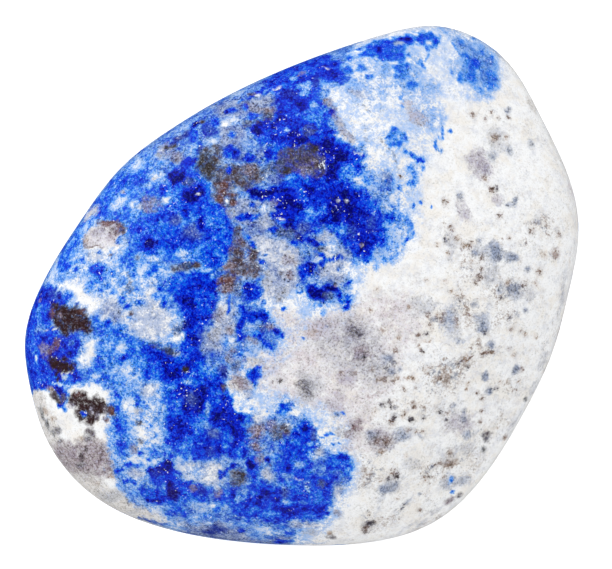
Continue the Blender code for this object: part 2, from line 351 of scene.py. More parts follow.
bodies = [
    ("bluish", [
        (0.0, 9.0), (1.0, 13.0), (5.0, 14.5), (8.6, 14.0), (10.4, 12.0), (10.4, 10.2), (9.6, 9.2),
        (8.2, 8.9), (7.2, 9.0), (7.3, 7.6), (6.9, 6.4), (6.2, 5.5), (6.2, 4.2), (6.1, 3.0), (5.8, 1.9),
        (5.0, 1.2), (3.4, 0.5), (2.9, -0.8), (2.4, -2.2), (0.5, -2.9), (-0.5, -3.9), (-1.4, -5.0),
        (0.8, -5.6), (2.4, -6.0), (2.7, -7.2), (2.9, -9.2), (2.6, -10.8), (1.8, -12.0), (0.5, -14.0),
        (-14.0, -14.0), (-15.0, 0.0),
    ]),
    ("halo", blueSide),
    ("hazy", blueSide),
    ("white", [
        (-15.0, -5.2), (-13.3, -5.4), (-12.4, -5.0), (-11.0, -5.1), (-9.9, -5.3), (-9.5, -6.2),
        (-9.7, -7.0), (-9.6, -8.0), (-9.8, -9.2), (-9.2, -10.3), (-8.5, -11.1), (-7.0, -11.7),
        (-6.0, -13.5), (-15.0, -13.0),
    ]),
    ("azureHazy", [
        (-13.4, 0.8), (-9.6, 6.0), (-7.5, 6.6), (-7.0, 4.6), (-7.2, 3.0), (-8.4, 2.0), (-7.0, 0.6),
        (-7.0, -1.0), (-7.9, -3.0), (-7.9, -4.5), (-7.0, -5.0), (-6.9, -8.0), (-8.0, -9.6), (-9.6, -9.2),
        (-9.6, -5.0), (-10.8, -4.6), (-10.6, -2.0), (-12.2, -0.4),
    ]),
    ("azureHazy", [
        (2.2, 5.6), (3.0, 5.9), (3.5, 5.3), (3.8, 4.6), (4.3, 3.8), (4.8, 3.1), (5.0, 2.5), (4.7, 1.9),
        (4.2, 1.3), (3.6, 1.2), (3.9, 2.4), (3.9, 3.4), (3.2, 4.6), (2.5, 5.1),
    ]),
    ("pinkFaintAndRimShade", [
        (-1.5, -1.2), (0.5, -1.6), (3.0, -0.6), (5.2, -0.3), (6.0, -2.0), (5.0, -3.8), (4.6, -5.2),
        (3.6, -6.2), (3.6, -8.5), (2.4, -8.3), (1.8, -6.8), (0.0, -6.0), (-2.5, -5.2), (-3.0, -3.8),
        (-1.0, -3.0),
    ]),
    ("greyFaintAndRimShade", [
        (1.2, -1.9), (3.0, -1.7), (3.9, -2.6), (4.0, -4.2), (2.6, -4.8), (1.2, -4.0), (0.3, -3.1),
    ]),
    # The dark upper body and the royal fields
    ("royal", [
        (-1.6, 9.4), (-1.9, 10.2), (-0.8, 11.2), (0.3, 11.4), (1.2, 11.5), (1.9, 11.0), (2.0, 10.3),
        (1.2, 9.9), (0.8, 9.4), (1.5, 8.9), (1.6, 8.4), (1.1, 8.0), (1.5, 7.5), (2.4, 6.9), (2.9, 6.5),
        (3.1, 5.6), (2.6, 5.2), (2.9, 4.8), (3.6, 4.4), (4.1, 3.8), (4.1, 2.8), (4.0, 1.6), (3.2, 1.1),
        (2.5, 1.5), (2.0, 2.1), (1.5, 2.7), (0.7, 2.9), (0.2, 2.4), (-0.4, 2.8), (-1.0, 2.9), (-2.0, 2.8),
        (-2.2, 4.2), (-2.9, 4.8), (-1.2, 4.9), (-1.6, 5.4), (-1.3, 6.2), (-2.0, 6.3), (-1.5, 7.0),
        (-2.4, 7.1), (-2.5, 8.0), (-1.5, 8.3),
    ]),
    ("midBlue", [
        (-8.9, 2.9), (-7.9, 3.4), (-6.9, 4.0), (-6.6, 4.6), (-6.8, 5.4), (-6.9, 6.2), (-6.5, 5.8),
        (-6.0, 5.9), (-5.9, 6.4), (-5.3, 6.5), (-5.3, 5.5), (-4.6, 5.0), (-4.7, 4.2), (-4.1, 3.9),
        (-3.8, 3.0), (-3.6, 2.0), (-3.7, 1.1), (-4.3, 0.9), (-5.0, 0.8), (-6.0, 1.3), (-6.6, 1.2),
        (-7.2, 1.3), (-8.0, 1.5), (-8.5, 2.0),
    ]),
    ("ultra", [
        (-6.8, 0.4), (-6.0, 0.6), (-5.2, 0.8), (-4.7, 0.7), (-4.2, 0.0), (-4.1, -1.2), (-4.4, -1.9),
        (-4.7, -2.2), (-4.8, -2.9), (-4.9, -3.6), (-4.9, -4.2), (-5.9, -4.5), (-6.2, -3.5), (-6.3, -2.9),
        (-6.0, -2.4), (-5.9, -2.0), (-6.1, -1.6), (-6.2, -1.0), (-6.5, -0.6), (-6.8, -0.3),
    ]),
    ("royal", [
        (-8.0, -3.1), (-7.5, -2.9), (-6.5, -3.4), (-6.0, -3.6), (-5.2, -3.9), (-4.2, -3.9), (-4.1, -4.8),
        (-3.8, -5.3), (-3.2, -6.2), (-3.0, -7.0), (-2.9, -8.0), (-2.8, -8.6), (-3.3, -8.5), (-3.9, -8.4),
        (-4.3, -8.6), (-4.9, -8.8), (-5.4, -8.5), (-6.2, -8.5), (-6.8, -8.0), (-7.0, -7.2), (-6.8, -6.6),
        (-6.9, -5.6), (-6.8, -5.0), (-7.3, -4.9), (-8.0, -4.6), (-8.3, -3.8),
    ]),
    ("royal", [
        (-7.9, -9.4), (-7.2, -9.0), (-6.8, -8.7), (-6.5, -9.1), (-6.0, -9.8), (-5.3, -9.9), (-5.0, -10.1),
        (-4.3, -10.2), (-3.8, -10.3), (-3.0, -10.4), (-2.6, -10.0), (-2.2, -9.8), (-1.2, -9.9),
        (-1.3, -9.2), (-0.9, -8.4), (-1.1, -8.0), (-0.7, -7.4), (-0.4, -7.0), (0.1, -6.9), (0.6, -7.4),
        (0.8, -8.0), (0.4, -8.6), (0.6, -9.2), (0.9, -9.7), (1.3, -9.4), (1.0, -8.9), (1.3, -8.5),
        (2.1, -8.5), (2.4, -9.0), (2.1, -9.5), (1.6, -9.7), (1.4, -10.4), (1.2, -11.3), (0.6, -11.7),
        (-0.3, -11.6), (-1.2, -11.9), (-2.0, -11.8), (-3.0, -11.5), (-3.5, -11.3), (-4.0, -10.9),
        (-5.0, -10.9), (-6.0, -11.0), (-7.1, -10.9), (-8.0, -10.7), (-8.1, -10.3), (-7.7, -10.0),
        (-7.0, -9.9), (-7.8, -9.7),
    ]),
    ("dullHazy", [
        (-6.4, -11.8), (-5.6, -12.0), (-5.0, -11.9), (-4.3, -11.8), (-3.9, -12.0), (-3.2, -12.3),
        (-2.6, -12.7), (-0.6, -12.6), (-0.9, -14.0), (-4.0, -14.5), (-6.4, -13.5),
    ]),
    ("midBlue", [
        (2.7, 11.5), (3.2, 11.9), (3.8, 12.1), (4.3, 12.3), (5.0, 12.45), (5.5, 12.45), (5.9, 12.5),
        (6.3, 12.6), (6.7, 12.3), (6.7, 12.0), (6.3, 12.0), (5.7, 12.1), (5.3, 11.9), (5.1, 11.8),
        (5.0, 11.2), (4.9, 11.1), (4.3, 11.2), (3.7, 11.4), (3.0, 11.3),
    ]),
    ("pale", [
        (2.0, 11.3), (2.7, 11.5), (3.0, 11.2), (3.7, 11.3), (4.4, 11.1), (4.6, 10.3), (4.7, 9.4),
        (4.0, 9.3), (3.4, 8.8), (3.0, 9.2), (2.3, 9.6), (2.3, 10.3),
    ]),
    ("azureHazy", [
        (-10.2, -2.2), (-9.5, -2.0), (-8.9, -2.2), (-8.8, -2.8), (-8.0, -3.0), (-8.0, -3.9), (-8.3, -4.3),
        (-8.9, -4.6), (-8.9, -5.4), (-8.7, -5.8), (-9.2, -5.6), (-9.4, -5.0), (-10.6, -4.8), (-10.9, -4.6),
        (-10.7, -4.2), (-10.3, -3.7), (-10.2, -2.9),
    ]),
    ("royal", [
        (-15.0, -5.6), (-14.2, -1.0), (-13.3, 0.2), (-12.6, -0.1), (-12.1, -0.2), (-11.7, -0.4),
        (-11.8, -0.9), (-12.4, -1.0), (-12.7, -1.4), (-12.5, -2.1), (-12.2, -2.6), (-11.8, -2.7),
        (-11.4, -2.5), (-11.1, -2.8), (-11.4, -3.4), (-11.3, -4.1), (-11.0, -4.3), (-11.1, -4.9),
        (-12.0, -5.0), (-11.7, -5.5), (-12.0, -6.1), (-12.5, -5.3), (-13.0, -5.3), (-13.6, -5.3),
    ]),
    ("azure", [
        (-9.3, -6.0), (-9.1, -6.2), (-9.1, -6.8), (-8.8, -7.0), (-8.6, -7.6), (-8.7, -8.3), (-8.9, -8.7),
        (-9.2, -8.2), (-9.3, -7.4), (-9.5, -6.9),
    ]),
    # Paler fields over the blue
    ("mist", [
        (-11.2, 2.0), (-10.0, 1.9), (-9.4, 1.4), (-8.9, 1.8), (-8.8, 1.0), (-8.3, 0.9), (-7.2, 0.9),
        (-6.8, 0.6), (-7.0, 0.0), (-7.4, -0.4), (-6.9, -0.9), (-6.4, -1.2), (-6.1, -2.0), (-6.3, -2.8),
        (-7.5, -2.9), (-8.2, -2.8), (-8.8, -2.3), (-9.4, -2.0), (-10.3, -1.8), (-10.3, -0.9),
        (-10.9, -0.2), (-12.0, 0.3), (-12.8, 0.4), (-12.2, 1.6), (-11.4, 1.6),
    ]),
    ("white", [
        (-13.0, 0.3), (-12.3, 0.3), (-11.5, 0.3), (-11.0, 0.1), (-10.7, -0.3), (-10.2, -0.8),
        (-10.1, -1.4), (-10.5, -1.6), (-10.9, -1.4), (-11.3, -1.0), (-11.9, -0.9), (-11.7, -0.4),
        (-12.1, -0.2), (-12.6, 0.0),
    ]),
    ("lavender", [
        (-10.2, -0.9), (-9.6, -0.7), (-9.2, -1.0), (-8.9, -1.4), (-8.8, -1.8), (-9.4, -1.9), (-10.1, -1.6),
    ]),
    ("lavenderWhite", [
        (-8.4, -1.2), (-7.9, -1.0), (-7.8, -0.3), (-7.5, 0.0), (-7.3, -0.7), (-7.0, -1.2), (-6.7, -1.9),
        (-6.8, -2.4), (-7.5, -2.8), (-8.1, -2.7), (-8.6, -2.3), (-8.6, -1.8),
    ]),
    ("white", [
        (-10.9, -2.7), (-10.6, -2.3), (-10.2, -2.5), (-10.3, -3.2), (-10.4, -3.7), (-10.7, -4.1),
        (-11.1, -4.0), (-11.2, -3.6), (-11.0, -3.2),
    ]),
    ("white", [
        (-11.1, -5.1), (-10.6, -4.95), (-9.7, -5.1), (-9.5, -5.7), (-9.8, -5.8), (-10.4, -5.6),
        (-10.9, -5.4),
    ]),
    ("mist", [
        (-8.9, -4.2), (-8.3, -4.4), (-7.9, -4.9), (-7.2, -5.0), (-7.0, -5.6), (-7.0, -6.5), (-7.0, -7.3),
        (-6.8, -8.1), (-6.2, -8.5), (-6.6, -8.8), (-7.2, -8.9), (-7.9, -9.2), (-8.0, -9.8), (-8.3, -10.2),
        (-9.2, -9.9), (-9.5, -9.0), (-9.4, -8.3), (-9.0, -8.5), (-8.6, -8.0), (-8.5, -7.0), (-9.0, -6.7),
        (-9.1, -6.0), (-8.9, -5.8), (-8.5, -5.6), (-8.8, -5.0),
    ]),
    ("lavenderWhite", [
        (-6.2, -9.0), (-5.5, -8.9), (-5.0, -9.0), (-4.1, -8.9), (-4.0, -9.6), (-4.4, -10.1), (-5.0, -9.9),
        (-5.6, -9.8), (-6.0, -9.5),
    ]),
    ("beigeAndRimShade", [
        (-13.9, -5.5), (-13.2, -5.3), (-12.8, -6.2), (-12.4, -7.3), (-11.6, -8.2), (-11.2, -9.0),
        (-10.2, -9.8), (-9.2, -10.5), (-8.2, -11.2), (-7.0, -11.7), (-7.2, -12.8), (-11.0, -12.0),
        (-14.5, -8.0),
    ]),
    ("pinkish", [
        (-12.5, -8.0), (-11.2, -7.8), (-10.4, -7.7), (-9.8, -8.1), (-9.7, -8.8), (-9.5, -9.5),
        (-10.0, -9.7), (-10.8, -9.6), (-11.4, -9.4), (-12.0, -9.3), (-12.9, -9.0),
    ]),
    ("lavender", [
        (-2.9, 2.7), (-2.0, 2.7), (-1.3, 2.4), (-0.7, 2.0), (-0.2, 1.7), (0.0, 1.2), (-0.3, 0.5),
        (-0.4, -0.2), (-0.9, -0.4), (-1.2, -0.9), (-2.0, -0.7), (-1.9, 0.3), (-1.9, 1.3), (-2.4, 1.9),
        (-2.7, 2.2),
    ]),
    ("dullHazy", [
        (-3.3, 4.4), (-2.5, 4.2), (-1.5, 4.3), (-1.3, 3.6), (-1.3, 2.9), (-2.0, 2.7), (-2.9, 2.8),
        (-3.4, 3.2),
    ]),
    ("dullHazy", [
        (-4.2, 6.5), (-4.2, 7.4), (-4.0, 8.2), (-4.6, 9.0), (-3.3, 9.3), (-2.7, 9.3), (-1.6, 9.6),
        (-1.4, 9.0), (-2.4, 8.6), (-3.1, 8.5), (-3.0, 7.8), (-2.8, 7.2), (-2.0, 7.1), (-1.9, 6.5),
        (-2.6, 6.2), (-3.6, 6.2),
    ]),
    ("lavender", [
        (-5.1, -2.2), (-4.6, -2.0), (-4.4, -1.5), (-4.2, -0.6), (-3.8, -0.5), (-3.5, -1.0), (-3.4, -2.2),
        (-3.4, -3.0), (-3.8, -3.4), (-4.4, -3.8), (-5.0, -3.6), (-5.1, -2.9),
    ]),
    ("lavender", [
        (0.7, 2.9), (1.4, 2.7), (1.9, 2.1), (2.4, 1.3), (1.9, 1.0), (2.2, 0.2), (1.4, 0.2), (0.6, 0.2),
        (0.6, 0.9), (0.5, 1.5), (0.4, 2.2),
    ]),
    # Dark cores
    ("navy", [
        (0.9, 7.3), (1.6, 7.3), (2.2, 6.7), (2.3, 6.2), (1.9, 6.0), (1.8, 5.2), (1.2, 5.1), (1.1, 5.8),
        (0.9, 6.4),
    ]),
    ("navy", [
        (-2.8, 4.8), (-1.9, 4.9), (-1.2, 4.9), (-0.5, 4.9), (-0.2, 4.3), (0.0, 4.0), (-0.5, 3.3),
        (-0.8, 3.0), (-1.2, 3.6), (-1.3, 4.3), (-2.0, 4.4), (-2.5, 4.4),
    ]),
    ("ultra", [
        (0.0, 4.9), (1.0, 5.0), (1.8, 5.1), (2.5, 4.9), (3.0, 4.4), (3.4, 3.9), (3.3, 3.0), (3.3, 2.2),
        (2.9, 1.9), (2.3, 1.9), (2.0, 2.4), (1.7, 3.0), (0.9, 3.0), (0.2, 3.4), (0.0, 4.2),
    ]),
    ("navy", [
        (1.4, 4.9), (2.1, 5.0), (2.6, 4.7), (2.8, 4.1), (2.5, 3.4), (2.0, 3.2), (1.4, 3.4), (1.2, 4.0),
        (1.1, 4.5),
    ]),
    ("navy", [
        (-4.0, -5.5), (-3.6, -5.9), (-3.2, -6.3), (-3.0, -7.0), (-2.9, -7.9), (-3.3, -8.1), (-3.6, -7.3),
        (-3.8, -6.6), (-4.5, -6.8), (-4.5, -6.2), (-4.2, -5.9),
    ]),
    ("navy", [
        (-6.0, -5.1), (-5.4, -5.2), (-5.1, -5.6), (-5.1, -6.2), (-5.4, -6.6), (-6.0, -6.3), (-6.2, -5.6),
    ]),
    # Smoky brown over the blue, and the dark brown bodies on the left
    ("greyBrown", [
        (-1.2, 6.6), (-0.9, 6.9), (-0.3, 7.0), (0.1, 7.2), (0.6, 6.9), (1.0, 6.5), (1.1, 5.6), (0.7, 5.3),
        (0.1, 5.4), (-0.1, 5.7), (-0.6, 5.6), (-1.5, 5.5), (-1.3, 6.0),
    ]),
    ("greyBrown", [
        (-4.4, 6.9), (-4.0, 6.6), (-4.2, 6.2), (-3.8, 5.9), (-2.4, 6.1), (-1.9, 5.8), (-2.1, 5.2),
        (-2.9, 4.9), (-3.3, 4.5), (-3.4, 3.9), (-4.1, 3.9), (-4.6, 4.5), (-4.5, 5.2),
    ]),
    ("warmBrown", [
        (-3.7, 2.9), (-3.3, 2.9), (-3.0, 2.2), (-2.6, 1.9), (-2.2, 1.6), (-2.1, 1.0), (-2.0, 0.6),
        (-2.5, 0.3), (-3.1, 0.4), (-3.4, 0.1), (-3.4, -0.4), (-4.2, -0.4), (-4.4, 0.3), (-4.1, 0.6),
        (-3.7, 0.8), (-3.7, 1.3), (-3.6, 1.9), (-3.6, 2.4),
    ]),
    ("darkBrown", [
        (-12.4, -1.0), (-12.0, -0.95), (-11.3, -1.1), (-10.9, -1.25), (-10.8, -1.7), (-10.5, -2.25),
        (-10.9, -2.4), (-11.5, -2.35), (-12.0, -2.6), (-12.3, -2.25), (-12.45, -1.8), (-12.7, -1.5),
    ]),
    ("darkBrown", [
        (-12.6, -3.5), (-12.0, -3.6), (-11.5, -3.8), (-11.3, -4.15), (-11.7, -4.35), (-12.2, -4.4),
        (-12.6, -4.2), (-12.75, -3.9),
    ]),
    ("darkBrown", [
        (-11.6, -5.5), (-11.3, -5.35), (-11.0, -5.4), (-10.7, -5.75), (-10.2, -5.65), (-9.8, -5.9),
        (-9.5, -6.0), (-9.4, -6.3), (-9.5, -6.6), (-9.9, -6.5), (-10.2, -6.6), (-10.3, -6.9),
        (-10.6, -7.15), (-10.9, -6.9), (-11.3, -6.7), (-11.4, -6.4), (-11.2, -6.1), (-11.6, -5.9),
        (-11.8, -5.7),
    ]),
    ("white", [
        (-11.2, 2.2), (-10.8, 2.9), (-10.0, 3.1), (-9.3, 2.9), (-8.8, 2.6), (-9.1, 1.7), (-10.2, 1.5),
        (-11.0, 1.7),
    ]),
    ("whitish", [
        (-11.0, 2.2), (-10.8, 2.7), (-10.2, 3.0), (-9.4, 3.0), (-8.9, 2.9), (-8.9, 2.5), (-9.3, 2.4),
        (-9.2, 2.0), (-9.9, 1.8), (-10.8, 1.9),
    ]),
]

veins = [
    # Rim and left shoulder
    ("azure", 0.13, [(-12.2, 0.9), (-11.4, 2.2), (-11.2, 2.7)]),
    ("azure", 0.15, [(-9.9, 3.9), (-9.6, 4.5), (-9.0, 5.0), (-8.3, 5.5)]),
    ("azure", 0.08, [(-8.9, 3.7), (-8.5, 3.5), (-8.0, 3.5)]),
    ("royal", 0.14, [(-9.5, 3.3), (-9.1, 3.35), (-8.8, 3.5), (-8.9, 3.8)]),
    ("royal", 0.12, [(-7.6, 3.3), (-7.0, 3.5), (-6.5, 3.7)]),
    ("redBrown", 0.12, [(-10.3, 3.1), (-9.8, 3.05), (-9.3, 3.1), (-9.0, 2.9), (-9.0, 2.6)]),
    ("redBrownLine", 0.05, [(-11.05, 2.2), (-10.95, 1.9), (-10.6, 1.85), (-10.3, 1.9), (-10.1, 1.75)]),
    ("redBrownLine", 0.04, [(-9.7, 1.55), (-9.45, 1.55)]),
    ("slate", 0.06, [(-8.75, 0.7), (-8.7, 0.2), (-8.8, -0.1)]),
    ("glint", 0.035, [(-9.15, -1.15), (-8.9, -1.0), (-8.7, -0.85)]),
    ("glint", 0.03, [(-8.85, -1.0), (-8.75, -1.1)]),
    ("glint", 0.03, [(-13.2, -2.1), (-12.8, -2.25), (-12.35, -2.3)]),
    ("glint", 0.03, [(-12.9, -2.15), (-12.5, -2.1)]),
    ("glint", 0.035, [(-12.15, -4.5), (-11.9, -4.4), (-11.5, -4.35)]),
    ("glint", 0.03, [(-12.1, -4.55), (-11.8, -4.75)]),
    ("pale", 0.06, [(-12.6, -5.0), (-12.0, -4.95), (-11.2, -5.05)]),
    ("darkBrown", 0.06, [(-12.35, -4.4), (-12.3, -4.85)]),
    ("redBrown", 0.16, [(-12.3, -2.85), (-12.45, -3.1), (-12.65, -3.3)]),
    ("brown", 0.08, [(-12.6, -5.3), (-12.4, -5.6), (-12.2, -5.8)]),
    ("royal", 0.09, [(-12.0, -5.5), (-12.2, -6.0), (-11.8, -6.2)]),
    ("royal", 0.1, [(-9.0, -9.9), (-8.7, -9.75), (-8.4, -9.9)]),
    ("royal", 0.1, [(-9.45, -9.35), (-9.15, -9.35)]),
    ("greenGrey", 0.06, [(-13.2, -6.0), (-13.05, -6.6), (-12.75, -7.1), (-12.5, -7.5)]),
    ("slateBlue", 0.06, [(-8.2, -11.6), (-7.6, -11.8), (-6.9, -12.0)]),
    ("brown", 0.05, [(-8.9, -10.7), (-8.75, -11.0)]),
    # Middle
    ("navy", 0.13, [(-0.7, 3.1), (-0.4, 2.6), (0.0, 2.2), (0.4, 2.2), (0.7, 2.0)]),
    ("ultra", 0.12, [(0.65, 1.75), (1.0, 1.4)]),
    ("ultra", 0.12, [(0.9, 1.0), (1.1, 1.25), (1.5, 1.25), (1.85, 1.35)]),
    ("azure", 0.06, [(-0.4, -0.35), (-0.1, -0.35), (0.1, -0.3)]),
    ("ultra", 0.09, [(-3.7, -0.5), (-3.7, -1.0), (-3.75, -1.4)]),
    ("ultra", 0.13, [(-3.1, -1.1), (-3.0, -1.6), (-3.2, -2.2), (-3.2, -2.75)]),
    ("royal", 0.1, [(-2.3, -2.5), (-2.0, -2.8), (-1.7, -3.1)]),
    ("slate", 0.13, [(-7.6, -3.0), (-7.1, -3.1), (-6.6, -3.4), (-6.3, -3.4)]),
    ("glint", 0.03, [(-2.9, 1.15), (-2.75, 1.35)]),
    ("glint", 0.035, [(0.85, 10.9), (1.15, 10.85), (1.5, 10.75)]),
    ("glint", 0.04, [(2.4, 6.8), (2.7, 6.65), (2.9, 6.6)]),
    ("glint", 0.03, [(1.5, 7.6), (1.65, 7.45)]),
    ("glint", 0.04, [(-0.35, -9.75), (-0.05, -9.7)]),
    ("mauve", 0.2, [(1.2, 9.2), (1.6, 8.4), (1.9, 7.8), (2.4, 7.3)]),
    ("redBrownLine", 0.04, [(0.95, 9.3), (1.15, 9.3)]),
    ("scratch", 0.025, [(3.05, 8.2), (3.1, 7.7), (3.0, 7.2)]),
    ("scratch", 0.025, [(3.6, 7.6), (4.0, 7.1), (4.5, 6.5), (4.8, 5.7)]),
    ("scratch", 0.02, [(2.5, 9.2), (2.9, 9.0), (3.5, 8.6)]),
    ("azure", 0.05, [(4.9, 9.9), (4.9, 9.5), (4.8, 9.3)]),
    ("azure", 0.05, [(6.1, 12.0), (6.2, 11.5), (6.1, 11.2)]),
    ("azure", 0.05, [(5.6, 11.1), (5.9, 10.9), (6.1, 10.8)]),
    ("azure", 0.05, [(6.95, 7.9), (6.95, 7.6)]),
    ("azure", 0.05, [(6.95, 7.4), (6.65, 7.3), (6.6, 7.0), (6.8, 6.75), (6.95, 6.7)]),
    ("azure", 0.07, [(5.15, 6.6), (5.6, 6.45), (6.0, 6.2)]),
    ("azure", 0.09, [
        (4.7, 3.5), (5.05, 3.4), (5.35, 3.0), (5.4, 2.6), (5.25, 2.3), (5.0, 2.1), (4.7, 2.05),
    ]),
    ("azure", 0.09, [(7.5, 12.0), (7.8, 11.6), (8.1, 11.3)]),
    # Lower part
    ("ultra", 0.12, [(-3.4, -8.9), (-3.7, -9.2), (-3.9, -9.5)]),
    ("royal", 0.07, [(-4.15, -9.3), (-4.1, -9.6)]),
    ("royal", 0.14, [(-2.6, -9.2), (-2.4, -9.5), (-2.4, -9.8)]),
    ("ultra", 0.12, [(-0.5, -10.1), (-0.2, -10.4), (0.1, -10.5)]),
    ("azure", 0.06, [(0.9, -7.6), (1.2, -7.4), (1.45, -7.4)]),
    ("azure", 0.05, [(1.4, -7.9), (1.75, -7.9)]),
    ("azure", 0.07, [(1.6, -6.4), (1.85, -6.3), (2.1, -6.4)]),
    ("blackFleck", 0.09, [(-1.5, -4.95), (-1.3, -4.95), (-1.05, -4.9)]),
    ("blackFleck", 0.09, [(7.7, -3.9), (7.85, -3.8), (8.0, -3.75)]),
    ("brownFleck", 0.09, [(8.1, -3.7), (8.3, -3.65), (8.4, -3.5)]),
    ("brownFleck", 0.08, [(9.0, -3.5), (9.2, -3.4), (9.5, -3.35)]),
    ("slateFleck", 0.09, [(4.95, -11.0), (5.15, -10.85), (5.4, -10.7)]),
    ("blackFleck", 0.07, [(4.9, -11.1), (5.0, -10.95)]),
    ("tanFleck", 0.06, [(5.0, -4.6), (5.5, -4.65)]),
    ("scratch", 0.02, [(6.9, -4.0), (7.3, -3.9), (7.7, -3.8)]),
    ("slateFleck", 0.08, [(5.8, -7.4), (5.95, -7.55), (6.0, -7.7)]),
    ("tanFleck", 0.08, [(5.75, -3.0), (5.85, -3.2), (5.95, -3.4)]),
    ("tanFleck", 0.07, [(5.9, -2.7), (6.2, -2.8), (6.4, -2.7)]),
]

